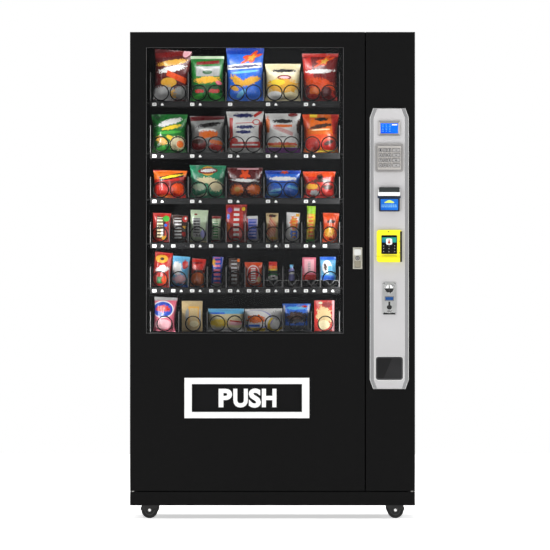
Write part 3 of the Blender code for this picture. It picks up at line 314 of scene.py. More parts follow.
def wires(name, lines, radius, paint, body, closed=False, sides=2):
    """Round wires along lists of points."""
    curve = bpy.data.curves.new(name, "CURVE")
    curve.dimensions = "3D"
    curve.bevel_depth = radius
    curve.bevel_resolution = sides
    curve.use_fill_caps = True
    for points in lines:
        spline = curve.splines.new("POLY")
        spline.points.add(len(points) - 1)
        for point, spot in zip(spline.points, points):
            point.co = (*spot, 1.0)
        spline.use_cyclic_u = closed
        spline.use_smooth = True
    curve.materials.append(paint)
    obj = bpy.data.objects.new(name, curve)
    scene.collection.objects.link(obj)
    return finish_piece(obj, body)


def lettering(name, items, front, depth, paint, body, bold=0.0):
    """Flat raised lettering: items are (text, middle x, middle z, width, height)."""
    bm = bmesh.new()
    for text, cx, cz, width, height in items:
        curve = bpy.data.curves.new(name, "FONT")
        curve.body = text
        curve.offset = bold
        curve.extrude = 0.5
        curve.resolution_u = 4
        holder = bpy.data.objects.new(name, curve)
        scene.collection.objects.link(holder)
        bpy.context.view_layer.update()
        mesh = bpy.data.meshes.new_from_object(holder.evaluated_get(bpy.context.evaluated_depsgraph_get()))
        bpy.data.objects.remove(holder, do_unlink=True)
        xs, ys = [v.co.x for v in mesh.vertices], [v.co.y for v in mesh.vertices]
        scale = Matrix.Diagonal((width / (max(xs) - min(xs)), height / (max(ys) - min(ys)), depth, 1.0))
        centre = Matrix.Translation((-(max(xs) + min(xs)) / 2, -(max(ys) + min(ys)) / 2, 0.0))
        stand = Matrix.Rotation(math.pi / 2, 4, "X")
        mesh.transform(Matrix.Translation((cx, front + depth / 2, cz)) @ stand @ scale @ centre)
        bm.from_mesh(mesh)
        bpy.data.meshes.remove(mesh)
    bmesh.ops.remove_doubles(bm, verts=bm.verts, dist=1e-6)
    return piece(name, bm, paint, body, smooth=30.0)


# ---------------------------------------------------------------- camera, floor and light
def look_at(obj, target):
    obj.rotation_euler = (Vector(target) - obj.location).to_track_quat("-Z", "Y").to_euler()


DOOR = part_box("door_panel")
FRONT = DOOR[0].y
CAMERA_DISTANCE = 40.0
VIEW_WIDTH = 2.192
VIEW_MIDDLE = (0.010, 0.9715)

camera_data = bpy.data.cameras.new("camera")
camera_data.sensor_width = 36.0
camera_data.lens = 36.0 * CAMERA_DISTANCE / VIEW_WIDTH
camera_data.clip_end = 100.0
camera = bpy.data.objects.new("camera", camera_data)
camera.location = (VIEW_MIDDLE[0], FRONT - CAMERA_DISTANCE, VIEW_MIDDLE[1])
camera.rotation_euler = (math.pi / 2, 0.0, 0.0)
scene.collection.objects.link(camera)
scene.camera = camera
scene.view_settings.view_transform = "Standard"

LIGHTS = (
    # name, place, target, size, power
    ("key_left", (-4.6, -5.0, 3.6), (0.0, 0.0, 1.0), 3.2, 165.0),
    ("fill_right", (4.8, -4.6, 2.6), (0.0, 0.0, 1.0), 3.0, 105.0),
    ("overhead", (0.0, -1.2, 6.0), (0.0, 0.0, 0.0), 4.5, 180.0),
    ("rear_left", (-3.8, 5.4, 3.6), (0.0, 0.0, 1.0), 3.0, 200.0),
    ("rear_right", (4.2, 5.0, 3.2), (0.0, 0.0, 1.0), 3.0, 180.0),
)
for name, place, target, size, power in LIGHTS:
    data = bpy.data.lights.new(name, "AREA")
    data.size = size
    data.energy = power
    light = bpy.data.objects.new(name, data)
    light.location = place
    light.visible_camera = False
    scene.collection.objects.link(light)
    look_at(light, target)

world = bpy.data.worlds.new("studio")
world.use_nodes = True
tree = world.node_tree
backdrop = tree.nodes["Background"]
backdrop.inputs["Color"].default_value = (1.0, 1.0, 1.0, 1.0)
backdrop.inputs["Strength"].default_value = 1.0
soft_fill = tree.nodes.new("ShaderNodeBackground")
soft_fill.inputs["Color"].default_value = (1.0, 1.0, 1.0, 1.0)
soft_fill.inputs["Strength"].default_value = 0.14
seen = tree.nodes.new("ShaderNodeLightPath")
either = tree.nodes.new("ShaderNodeMixShader")
tree.links.new(seen.outputs["Is Camera Ray"], either.inputs[0])
tree.links.new(soft_fill.outputs[0], either.inputs[1])
tree.links.new(backdrop.outputs[0], either.inputs[2])
tree.links.new(either.outputs[0], tree.nodes["World Output"].inputs["Surface"])
scene.world = world

floor_paint = Paint("pale_floor")
speckle = floor_paint.stretch(floor_paint.noise(40.0, 4.0), 0.3, 0.7)
floor_paint.set(Base_Color=floor_paint.mix(speckle, (0.90, 0.90, 0.90), (0.93, 0.93, 0.93)), Roughness=0.85)
away = floor_paint.add("VectorMath", {0: floor_paint.object_space}, operation="LENGTH").outputs["Value"]
floor_paint.set(Emission_Color=(1.0, 1.0, 1.0), Emission_Strength=floor_paint.stretch(away, 1.6, 5.0, 0.60, 1.3),
                Specular_Ior_Level=0.1)
bm = bmesh.new()
bmesh.ops.create_grid(bm, x_segments=8, y_segments=8, size=14.0)
floor_mesh = bpy.data.meshes.new("floor")
bm.to_mesh(floor_mesh)
bm.free()
floor_mesh.materials.append(floor_paint.material)
floor = bpy.data.objects.new("floor", floor_mesh)
scene.collection.objects.link(floor)

# ---------------------------------------------------------------- the CAD's own pieces
EDGES = {
    "cabinet_shell": 0.0015, "base_plinth": 0.0015, "door_panel": 0.0014, "payment_door": 0.0014,
    "partition_wall": 0.001, "delivery_bin": 0.001, "flap_surround": 0.0012, "push_flap": 0.0008,
    "lock_housing": 0.0007, "lock_handle": 0.0007, "control_bezel": 0.0008, "display_unit": 0.0006,
    "keypad_housing": 0.0012, "bill_acceptor": 0.0014, "card_reader": 0.0022, "coin_unit": 0.0006,
    "coin_reject_button": 0.0006, "change_door": 0.0006, "window_glass": 0.0005,
}
EDGES.update({name: 0.0009 for name in nodes if name.startswith("key_row")})
EDGES.update({name: 0.0006 for name in nodes if name.startswith(("caster", "tray"))})
for name, width in EDGES.items():
    weld = nodes[name].modifiers.new("weld", "WELD")
    weld.merge_threshold = 0.00002
    soften(nodes[name], width)

# ---------------------------------------------------------------- trays: edges, rails, labels, wires
PRICE_RAIL_HEIGHT = 0.024
PRICE_RAIL_DEPTH = 0.010
DIVIDER_THICKNESS = 0.0012
MOTOR_RAIL_DEPTH = 0.055
ROWS = 6
LANE_SHARES = ((1,) * 5, (1,) * 5, (1,) * 5, (1,) * 10, (1,) * 10, (3, 3, 4, 4, 3, 3))
TRAYS = [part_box(f"tray_{row + 1}") for row in range(ROWS)]
LEVELS = [low.z + PRICE_RAIL_HEIGHT for low, _ in TRAYS]
DIVIDER_TOPS = [high.z for _, high in TRAYS]
TRAY_LEFT, TRAY_RIGHT = TRAYS[0][0].x, TRAYS[0][1].x
TRAY_FRONT, TRAY_BACK = TRAYS[0][0].y, TRAYS[0][1].y
MOTOR_RAIL_FRONT = TRAY_BACK - MOTOR_RAIL_DEPTH


def lane_edges(row):
    shares = LANE_SHARES[row]
    return [TRAY_LEFT + (TRAY_RIGHT - TRAY_LEFT) * sum(shares[:count]) / sum(shares)
            for count in range(len(shares) + 1)]


def tray_body(row):
    return f"tray_{row + 1}"


def make_divider_edges(row):
    """The rolled light edge that each divider shows at its front."""
    bm = bmesh.new()
    half = DIVIDER_THICKNESS / 2
    front = TRAY_FRONT + PRICE_RAIL_DEPTH / 2 - 0.0003
    top = min(DIVIDER_TOPS[row], LEVELS[row] + 0.118)
    for x in lane_edges(row):
        middle = min(max(x, TRAY_LEFT + half), TRAY_RIGHT - half)
        low = LEVELS[row] + 0.0005
        outline = [(middle - half - 0.0002, low), (middle + half + 0.0002, low),
                   (middle + half + 0.0002, top - 0.004), (middle, top), (middle - half - 0.0002, top - 0.004)]
        add_plate(bm, outline, front, front + 0.004)
    piece(f"divider_edges_{row + 1}", bm, extra["edge"], tray_body(row))


def make_rail_trim(row):
    """Label channel lips along the price rail's front."""
    level = LEVELS[row]
    bm = bmesh.new()
    for low, high in ((level - 0.0014, level - 0.0002), (level - 0.0236, level - 0.0222)):
        add_plate(bm, rectangle((TRAY_LEFT + 0.0005, TRAY_RIGHT - 0.0005), (low, high)),
                  TRAY_FRONT - 0.0012, TRAY_FRONT)
    piece(f"label_channel_{row + 1}", bm, paints["tray_grey"], tray_body(row))


LABEL_SIZE = (0.0165, 0.0125)
LABEL_DROP = 0.0128
LABEL_INSET = 0.0165
MARK_STEP = 0.0315
NO_MARKS = {0: (2,), 3: (1, 3, 5, 7, 9)}


def make_labels(row):
    """Small cards with a lane number, and next to most of them a house-shaped mark."""
    cards, marks, numbers = bmesh.new(), bmesh.new(), []
    z = LEVELS[row] - LABEL_DROP
    for lane, left in enumerate(lane_edges(row)[:-1]):
        x = left + LABEL_INSET
        add_plate(cards, rounded(x, z, *LABEL_SIZE, 0.002, 3), TRAY_FRONT - 0.0016, TRAY_FRONT - 0.0002)
        numbers.append((f"{row + 1}{lane}", x, z, 0.0085, 0.0068))
        if lane in NO_MARKS.get(row, ()):
            continue
        mx = x + MARK_STEP
        outline = [(mx - 0.0055, z - 0.005), (mx + 0.0055, z - 0.005), (mx + 0.0055, z - 0.001),
                   (mx + 0.001, z + 0.0048), (mx - 0.002, z + 0.0048), (mx - 0.0055, z - 0.001)]
        add_plate(marks, outline, TRAY_FRONT - 0.0014, TRAY_FRONT - 0.0002)
    piece(f"lane_labels_{row + 1}", cards, extra["label"], tray_body(row), 0.0003)
    piece(f"lane_marks_{row + 1}", marks, extra["label"], tray_body(row))
    lettering(f"lane_numbers_{row + 1}", numbers, TRAY_FRONT - 0.0018, 0.0003, extra["grey_ink"], tray_body(row),
              bold=0.02)


def make_motor_fronts(row, spirals):
    """The couplers and grey faces of the motors at the back of a tray."""
    bm = bmesh.new()
    for x, z, radius, _ in spirals:
        add_plate(bm, rounded(x, z, 0.034, 0.046, 0.004, 3), MOTOR_RAIL_FRONT - 0.003, MOTOR_RAIL_FRONT - 0.0003)
        add_plate(bm, disc(x, z, 0.011, 20), MOTOR_RAIL_FRONT - 0.008, MOTOR_RAIL_FRONT - 0.003)
    piece(f"motor_fronts_{row + 1}", bm, extra["grey_ink"], tray_body(row), 0.0006)


# ---------------------------------------------------------------- spirals
WIRE_RADIUS = 0.0024
SPIRAL_TURNS = 8
POINTS_A_TURN = 24
SPIRAL_END_CLEARANCE = 0.006
SPIRAL_TAIL = 0.014
FLOOR_CLEARANCE = 0.0015
PAIR_GAP = 0.0015
PAIR_SIDE_CLEARANCE = 0.0084
NARROW_SIDE_CLEARANCE = 0.005
LANE = (TRAY_RIGHT - TRAY_LEFT) / 5 - DIVIDER_THICKNESS
PAIR_RADIUS = (LANE - PAIR_GAP - 2 * PAIR_SIDE_CLEARANCE) / 4
NARROW_RADIUS = ((TRAY_RIGHT - TRAY_LEFT) / 10 - DIVIDER_THICKNESS - 2 * NARROW_SIDE_CLEARANCE) / 2
SPIRAL_START = TRAY_FRONT + SPIRAL_END_CLEARANCE
SPIRAL_LENGTH = MOTOR_RAIL_FRONT - SPIRAL_TAIL - SPIRAL_START
PITCH = SPIRAL_LENGTH / SPIRAL_TURNS


def spiral_points(x, z, radius, hand):
    reach = radius - WIRE_RADIUS
    points = []
    count = SPIRAL_TURNS * POINTS_A_TURN
    for step in range(count + 1):
        angle = -math.pi / 2 + hand * 2 * math.pi * step / POINTS_A_TURN
        y = SPIRAL_START + SPIRAL_LENGTH * step / count
        points.append((x + reach * math.cos(angle), y, z + reach * math.sin(angle)))
    points.append((x, SPIRAL_START + SPIRAL_LENGTH, z))
    points.append((x, SPIRAL_START + SPIRAL_LENGTH + SPIRAL_TAIL - 0.0005, z))
    return points


def row_spirals(row):
    """Each spiral of a row, from the left: its lane, then (x, z, radius, hand)."""
    edges = lane_edges(row)
    for lane, (left, right) in enumerate(zip(edges, edges[1:])):
        middle = (left + right) / 2
        pair = row < 3 or (row == 5 and lane in (2, 3))
        radius = PAIR_RADIUS if pair else NARROW_RADIUS
        offset = PAIR_RADIUS + PAIR_GAP / 2 if pair else 0.0
        if row == 5 and pair:
            offset += 0.001
        z = LEVELS[row] + FLOOR_CLEARANCE + radius
        for hand in ((-1, 1) if pair else (1,)):
            yield lane, (middle + hand * offset, z, radius, hand)


WORKING = {
    (0, 2): ("spiral_1_left", "spiral_1_right"), (1, 2): ("spiral_2_left", "spiral_2_right"),
    (2, 2): ("spiral_3_left", "spiral_3_right"), (3, 4): ("spiral_4",), (4, 4): ("spiral_5",),
    (5, 0): ("spiral_6",),
}


def make_row_spirals(row):
    resting, found = [], []
    taken = {}
    for lane, spiral in row_spirals(row):
        found.append(spiral)
        names = WORKING.get((row, lane))
        if names:
            node = names[taken.get(lane, 0)]
            taken[lane] = taken.get(lane, 0) + 1
            coil = wires(f"{node}_coil", [spiral_points(*spiral)], WIRE_RADIUS, paints["spiral_black"], node)
            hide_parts(node)
        else:
            resting.append(spiral_points(*spiral))
    wires(f"resting_spirals_{row + 1}", resting, WIRE_RADIUS, paints["spiral_black"], tray_body(row))
    return found


for row in range(ROWS):
    make_divider_edges(row)
    make_rail_trim(row)
    if row < 5:
        make_labels(row)
    make_motor_fronts(row, make_row_spirals(row))

# ---------------------------------------------------------------- snacks
INK = {
    "maroon": (0.115, 0.012, 0.014), "red": (0.55, 0.022, 0.014), "dark_red": (0.20, 0.012, 0.012),
    "orange": (0.82, 0.16, 0.012), "flame": (0.75, 0.075, 0.010), "gold": (0.74, 0.38, 0.035),
    "yellow": (0.85, 0.60, 0.03), "cream": (0.80, 0.70, 0.42), "white": (0.82, 0.82, 0.80),
    "silver": (0.42, 0.42, 0.42), "grey": (0.30, 0.31, 0.30), "black": (0.010, 0.009, 0.009),
    "brown": (0.055, 0.020, 0.012), "green": (0.015, 0.19, 0.032), "leaf": (0.06, 0.40, 0.05),
    "teal": (0.02, 0.27, 0.13), "blue": (0.010, 0.055, 0.42), "bright_blue": (0.025, 0.16, 0.75),
    "sky": (0.14, 0.48, 0.78), "navy": (0.012, 0.018, 0.12), "purple": (0.26, 0.05, 0.34),
    "lilac": (0.30, 0.30, 0.66), "pink": (0.80, 0.16, 0.24), "pale_pink": (0.85, 0.45, 0.50),
    "tan": (0.62, 0.46, 0.22), "lime": (0.35, 0.68, 0.03), "dark_green": (0.008, 0.07, 0.018),
    "pale_green": (0.50, 0.62, 0.42), "clear": (0.10, 0.11, 0.12),
}


def wrapper_paint(name, base, marks, gloss=0.30, painted_glint_strength=0.0):
    """A printed film with painted highlights on its crease tops. Marks are (kind, x, z, half width, half height, tilt
    in degrees, ink), in shares of the face.
    """
    paint = Paint(name)
    spot = paint.add("SeparateXYZ", {0: paint.add("TexCoord").outputs["Generated"]})
    face = paint.add("CombineXYZ", {0: spot.outputs[0], 1: 0.0, 2: spot.outputs[2]}).outputs[0]
    wander = paint.noise(45.0, 2.0)
    tone = paint.mix(paint.stretch(wander, 0.3, 0.7), INK[base], tuple(c * 0.72 for c in INK[base]))
    for kind, x, z, wide, high, tilt, ink in marks:
        inputs = {"Vector": face, "Location": (x, 0.0, z), "Rotation": (0.0, math.radians(tilt), 0.0),
                  "Scale": (wide, 1.0, high)}
        local = paint.add("Mapping", inputs, vector_type="TEXTURE").outputs[0]
        parts = paint.add("SeparateXYZ", {0: local})
        if kind == "box":
            size = paint.math("MAXIMUM", paint.math("ABSOLUTE", parts.outputs[0]),
                              paint.math("ABSOLUTE", parts.outputs[2]))
        else:
            size = paint.add("VectorMath", {0: local}, operation="LENGTH").outputs["Value"]
        if kind == "burst":
            turn = paint.math("ARCTAN2", parts.outputs[2], parts.outputs[0])
            wave = paint.math("SINE", paint.math("MULTIPLY", turn, 5.0))
            size = paint.math("ADD", size, paint.math("MULTIPLY", wave, 0.32))
        if kind == "heap":
            size = paint.math("ADD", size, paint.stretch(paint.noise(170.0, 3.0), 0.3, 0.7, -0.35, 0.35))
        if kind == "ring":
            size = paint.math("ADD", paint.math("ABSOLUTE", paint.math("SUBTRACT", size, 0.86)), 0.86)
        soft = 0.04
        mask = paint.stretch(size, 1.0 - soft, 1.0 + soft, 1.0, 0.0)
        if kind == "stripes":
            bars = paint.math("SINE", paint.math("MULTIPLY", parts.outputs[2], 20.0))
            inside = paint.math("MAXIMUM", paint.math("ABSOLUTE", parts.outputs[0]),
                                paint.math("ABSOLUTE", parts.outputs[2]))
            mask = paint.math("MULTIPLY", paint.stretch(inside, 0.97, 1.03, 1.0, 0.0),
                              paint.stretch(bars, -0.1, 0.1))
        tone = paint.mix(mask, tone, INK[ink])
    creases = paint.noise(38.0, 4.0, (1.0, 1.0, 0.35), 0.6)
    crimp = paint.add("TexWave", {"Vector": paint.object_space, "Scale": 130.0}, bands_direction="X").outputs["Fac"]
    ends = paint.math("ABSOLUTE", paint.math("SUBTRACT", spot.outputs[2], 0.5))
    ends = paint.stretch(ends, 0.455, 0.465)
    height = paint.math("ADD", creases, paint.math("MULTIPLY", paint.math("MULTIPLY", crimp, ends), 0.35))
    # Painted highlight: a pale grey mixed into the colour on the tops of the creases, scaled by the glint strength.
    painted_glint = paint.math("MULTIPLY", paint.stretch(creases, 0.60, 0.72), 0.35)
    tone = paint.mix(paint.math("MULTIPLY", painted_glint, painted_glint_strength), tone, (0.85, 0.85, 0.85))
    paint.set(Base_Color=tone, Roughness=paint.stretch(wander, 0.3, 0.7, gloss - 0.06, gloss + 0.06), Coat_Weight=0.35)
    paint.set(Coat_Roughness=0.12)
    paint.bump(height, 0.45, 0.004)
    return paint.material


def add_bag(bm, cx, cy, floor, width, height, depth, pull=0.07, end=0.055, lean=0.0, flare=0.0, seed=1, back=4.0):
    """A filled pillow bag with flat crimped ends, gathered sides and creases running from its seals."""
    draw = random.Random(seed)
    columns, rows = 20, 22
    phases = [draw.uniform(0.0, 2 * math.pi) for _ in range(6)]
    matrix = (Matrix.Translation((cx, cy, floor)) @ Matrix.Rotation(math.radians(lean), 4, "Y")
              @ Matrix.Rotation(math.radians(-back), 4, "X"))
    sheets = []
    for side in (-1, 1):
        grid = []
        for j in range(rows + 1):
            v = j / rows
            filled = min(max((v - end) / (1.0 - 2.0 * end), 0.0), 1.0)
            belly = math.sin(math.pi * filled ** 0.88) ** 0.55 if 0.0 < filled < 1.0 else 0.0
            near_seal = math.exp(-min(filled, 1.0 - filled) / 0.10)
            line = []
            for i in range(columns + 1):
                u = i / columns
                across = 2.0 * u - 1.0
                round_over = max(0.0, 1.0 - abs(across) ** 2.6) ** 0.62
                half = width / 2 * (1.0 - pull * belly + flare * (v - 0.5))
                x = across * half + 0.0012 * math.sin(7.0 * v + phases[0]) * (1.0 - abs(across))
                crease = 0.0022 * near_seal * math.sin(16.0 * u + phases[1]) * math.sin(9.0 * u + phases[2])
                crease += 0.0016 * math.sin(9.0 * across * (1.0 - 0.4 * v) + phases[3]) * math.sin(5.0 * v + phases[4])
                thick = depth / 2 * belly * round_over
                rim = min(1.0, 6.0 * min(u, 1.0 - u)) * min(1.0, 8.0 * min(v, 1.0 - v))
                y = side * (0.0004 + thick * (1.0 if side < 0 else 0.85)) + crease * rim
                tip = 0.0012 * (i % 2) if j in (0, rows) else 0.0
                z = v * height + (tip if j == 0 else -tip) + 0.004 * abs(across) ** 3 * (v - 0.3) * belly
                line.append(bm.verts.new(matrix @ Vector((x, y, max(z, 0.0)))))
            grid.append(line)
        sheets.append(grid)
    front, rear = sheets
    for j in range(rows):
        for i in range(columns):
            bm.faces.new((front[j][i], front[j][i + 1], front[j + 1][i + 1], front[j + 1][i]))
            bm.faces.new((rear[j][i], rear[j + 1][i], rear[j + 1][i + 1], rear[j][i + 1]))
    border = [(0, i) for i in range(columns)] + [(j, columns) for j in range(rows)]
    border += [(rows, i) for i in range(columns, 0, -1)] + [(j, 0) for j in range(rows, 0, -1)]
    for (j, i), (l, k) in zip(border, border[1:] + border[:1]):
        bm.faces.new((front[j][i], rear[j][i], rear[l][k], front[l][k]))


def add_carton(bm, cx, cy, floor, width, height, depth, lean=0.0, back=4.0):
    """A folded carton with tucked flap lines at its ends."""
    matrix = (Matrix.Translation((cx, cy, floor)) @ Matrix.Rotation(math.radians(lean), 4, "Y")
              @ Matrix.Rotation(math.radians(-back), 4, "X"))
    part = bmesh.new()
    add_plate(part, rounded(0.0, height / 2, width, height, 0.0012, 2), -depth / 2, depth / 2)
    for z in (0.0035, height - 0.0035):
        add_plate(part, rounded(0.0, z, width * 0.94, 0.0045, 0.001, 2), -depth / 2 - 0.0005, depth / 2 + 0.0005)
    part.transform(matrix)
    spare = bpy.data.meshes.new("spare")
    part.to_mesh(spare)
    part.free()
    bm.from_mesh(spare)
    bpy.data.meshes.remove(spare)


def add_bottle(bm, cx, cy, floor, width, height):
    """A small turned bottle with a waist, shoulders and a cap."""
    profile = ((0.0, 0.0), (0.46, 0.0), (0.5, 0.03), (0.5, 0.26), (0.36, 0.34), (0.44, 0.44), (0.47, 0.60),
               (0.40, 0.70), (0.24, 0.78), (0.24, 0.82), (0.30, 0.83), (0.30, 0.98), (0.26, 1.0), (0.0, 1.0))
    count = 24
    rings = []
    for share, up in profile:
        rings.append([
            bm.verts.new((cx + width * share * math.cos(2 * math.pi * k / count),
                          cy + width * share * math.sin(2 * math.pi * k / count), floor + up * height))
            for k in range(count)
        ] if share else [bm.verts.new((cx, cy, floor + up * height))])
    for low, high in zip(rings, rings[1:]):
        for k in range(count):
            corners = [low[k % len(low)], low[(k + 1) % len(low)], high[(k + 1) % len(high)], high[k % len(high)]]
            bm.faces.new(list(dict.fromkeys(corners)))


# The first snack of a lane stands just over one turn into its spiral.
SNACK_Y = SPIRAL_START + PITCH + 0.021
BAG_DEPTH = 0.040


def lane_middle(row, lane):
    edges = lane_edges(row)
    return (edges[lane] + edges[lane + 1]) / 2


def snack(row, lane, kind, width, height, base, marks, shift=0.0, depth=BAG_DEPTH, gloss=0.30, painted_glint_strength=0.5, **form):
    """A snack and two more of it behind, one spiral turn apart, as one piece on its tray."""
    name = f"snack_{row + 1}_{lane + 1}"
    bm = bmesh.new()
    rise = form.pop("rise", 0.0)
    for copy in range(3):
        place = (lane_middle(row, lane) + shift, SNACK_Y + PITCH * copy, LEVELS[row] + 0.002 + rise)
        if kind == "bag":
            add_bag(bm, *place, width, height, depth, seed=row * 20 + lane, **form)
        elif kind == "carton":
            add_carton(bm, *place, width, height, depth, **form)
        else:
            add_bottle(bm, *place, width, height)
    paint = wrapper_paint(f"{name}_wrapper", base, marks, gloss, painted_glint_strength)
    piece(name, bm, paint, tray_body(row), smooth=50.0)


WIDE_BAG = dict(depth=0.044)
# Row 1
snack(0, 0, "bag", 0.142, 0.205, "maroon", [
    ("box", 0.50, 0.90, 0.45, 0.045, -4, "dark_red"), ("ellipse", 0.88, 0.93, 0.13, 0.07, -30, "pale_pink"),
    ("heap", 0.5, 0.74, 0.36, 0.055, -6, "gold"), ("heap", 0.48, 0.62, 0.34, 0.055, -8, "white"),
    ("box", 0.60, 0.47, 0.26, 0.055, 18, "flame"), ("ellipse", 0.40, 0.37, 0.20, 0.09, 0, "gold"),
    ("heap", 0.30, 0.15, 0.34, 0.15, 0, "silver"), ("ellipse", 0.56, 0.16, 0.12, 0.08, 0, "gold"),
    ("heap", 0.78, 0.17, 0.25, 0.13, 0, "grey")], lean=4.0, shift=0.002, flare=0.10, **WIDE_BAG)
snack(0, 1, "bag", 0.136, 0.181, "green", [
    ("box", 0.5, 0.965, 0.5, 0.03, 0, "pale_green"), ("box", 0.52, 0.85, 0.33, 0.035, -3, "dark_red"),
    ("box", 0.52, 0.66, 0.34, 0.11, 0, "grey"), ("ellipse", 0.5, 0.64, 0.14, 0.045, 0, "dark_green"),
    ("heap", 0.50, 0.47, 0.36, 0.075, -3, "gold"), ("ellipse", 0.84, 0.40, 0.10, 0.045, 15, "pink"),
    ("box", 0.5, 0.27, 0.5, 0.09, 0, "dark_green"), ("heap", 0.28, 0.22, 0.13, 0.045, 0, "red"),
    ("heap", 0.70, 0.22, 0.17, 0.045, 0, "red"), ("box", 0.22, 0.09, 0.15, 0.05, -20, "leaf"),
    ("box", 0.74, 0.09, 0.15, 0.05, 20, "leaf")], flare=-0.03, **WIDE_BAG)
snack(0, 2, "bag", 0.150, 0.213, "bright_blue", [
    ("box", 0.5, 0.94, 0.5, 0.06, 0, "blue"), ("burst", 0.66, 0.82, 0.24, 0.075, -18, "flame"),
    ("burst", 0.68, 0.82, 0.10, 0.04, -18, "gold"), ("box", 0.48, 0.655, 0.46, 0.045, -3, "white"),
    ("heap", 0.5, 0.655, 0.42, 0.028, -3, "navy"), ("ellipse", 0.5, 0.55, 0.36, 0.022, -4, "sky"),
    ("heap", 0.30, 0.38, 0.20, 0.075, 25, "gold"), ("heap", 0.64, 0.38, 0.26, 0.075, -12, "gold"),
    ("ellipse", 0.22, 0.24, 0.12, 0.045, 15, "gold"), ("ellipse", 0.40, 0.14, 0.14, 0.05, -30, "sky")],
    flare=0.03, **WIDE_BAG)
snack(0, 3, "bag", 0.142, 0.150, "cream", [
    ("box", 0.5, 0.94, 0.5, 0.06, 0, "cream"), ("heap", 0.52, 0.81, 0.34, 0.045, 0, "black"),
    ("ellipse", 0.54, 0.63, 0.20, 0.07, 0, "dark_red"), ("ellipse", 0.54, 0.63, 0.14, 0.035, 0, "pale_pink"),
    ("heap", 0.5, 0.40, 0.46, 0.19, 0, "gold"), ("ellipse", 0.36, 0.50, 0.20, 0.08, 0, "yellow"),
    ("ellipse", 0.28, 0.14, 0.22, 0.12, 0, "white"), ("ellipse", 0.72, 0.12, 0.22, 0.12, 0, "cream")], **WIDE_BAG)
snack(0, 4, "bag", 0.142, 0.192, "dark_red", [
    ("box", 0.5, 0.955, 0.5, 0.035, 0, "red"), ("box", 0.14, 0.68, 0.14, 0.22, -12, "red"),
    ("burst", 0.60, 0.83, 0.24, 0.07, -20, "flame"), ("burst", 0.62, 0.83, 0.10, 0.04, -20, "gold"),
    ("heap", 0.48, 0.62, 0.38, 0.045, -2, "white"), ("heap", 0.5, 0.34, 0.40, 0.14, 10, "flame"),
    ("ellipse", 0.34, 0.20, 0.14, 0.09, 0, "orange"), ("ellipse", 0.30, 0.10, 0.14, 0.05, 0, "red"),
    ("box", 0.84, 0.13, 0.17, 0.03, 40, "red"), ("ellipse", 0.68, 0.2, 0.14, 0.1, 0, "maroon")],
    flare=0.05, shift=-0.002, **WIDE_BAG)
# Row 2
snack(1, 0, "bag", 0.142, 0.154, "green", [
    ("box", 0.12, 0.94, 0.13, 0.05, 35, "dark_green"), ("heap", 0.50, 0.79, 0.34, 0.075, -14, "white"),
    ("heap", 0.56, 0.66, 0.26, 0.05, -12, "yellow"), ("ellipse", 0.5, 0.53, 0.34, 0.04, -3, "leaf"),
    ("heap", 0.28, 0.32, 0.16, 0.10, 30, "gold"), ("heap", 0.55, 0.37, 0.15, 0.06, 30, "yellow"),
    ("heap", 0.74, 0.24, 0.24, 0.17, 0, "cream"), ("ellipse", 0.80, 0.22, 0.10, 0.09, 30, "orange"),
    ("box", 0.2, 0.08, 0.2, 0.05, -20, "leaf")], flare=0.02, **WIDE_BAG)
snack(1, 1, "bag", 0.136, 0.147, "grey", [
    ("box", 0.5, 0.945, 0.5, 0.06, -3, "maroon"), ("heap", 0.54, 0.76, 0.36, 0.055, -8, "black"),
    ("ellipse", 0.5, 0.60, 0.26, 0.06, 0, "white"), ("heap", 0.52, 0.50, 0.28, 0.10, 0, "orange"),
    ("ellipse", 0.24, 0.22, 0.25, 0.15, 0, "dark_red"), ("ellipse", 0.24, 0.30, 0.16, 0.06, 0, "brown"),
    ("heap", 0.76, 0.28, 0.22, 0.06, 10, "orange"), ("heap", 0.78, 0.14, 0.24, 0.09, 10, "red")],
    flare=0.04, **WIDE_BAG)
snack(1, 2, "bag", 0.146, 0.166, "white", [
    ("heap", 0.46, 0.90, 0.26, 0.05, 0, "navy"), ("box", 0.84, 0.94, 0.12, 0.035, -30, "red"),
    ("box", 0.13, 0.58, 0.045, 0.26, 0, "red"), ("box", 0.91, 0.5, 0.05, 0.24, 0, "dark_red"),
    ("ring", 0.80, 0.74, 0.11, 0.07, 0, "red"), ("box", 0.5, 0.72, 0.24, 0.008, -2, "red"),
    ("heap", 0.5, 0.62, 0.24, 0.04, 0, "navy"), ("heap", 0.48, 0.50, 0.20, 0.04, 0, "navy"),
    ("ellipse", 0.16, 0.28, 0.15, 0.09, 0, "red"), ("box", 0.5, 0.19, 0.5, 0.075, 0, "red"),
    ("box", 0.5, 0.19, 0.34, 0.018, 0, "white")], flare=0.06, **WIDE_BAG)
snack(1, 3, "bag", 0.142, 0.158, "white", [
    ("heap", 0.07, 0.70, 0.07, 0.20, 0, "orange"), ("heap", 0.95, 0.66, 0.06, 0.18, 0, "brown"),
    ("ellipse", 0.78, 0.96, 0.14, 0.045, 0, "dark_red"), ("heap", 0.50, 0.80, 0.28, 0.05, 0, "black"),
    ("heap", 0.52, 0.68, 0.28, 0.035, 0, "orange"), ("stripes", 0.5, 0.57, 0.30, 0.05, 20, "red"),
    ("heap", 0.5, 0.40, 0.12, 0.012, 0, "black"), ("heap", 0.5, 0.21, 0.46, 0.055, 0, "flame"),
    ("heap", 0.5, 0.165, 0.44, 0.03, 0, "gold"), ("box", 0.5, 0.06, 0.5, 0.065, 0, "purple")], **WIDE_BAG)
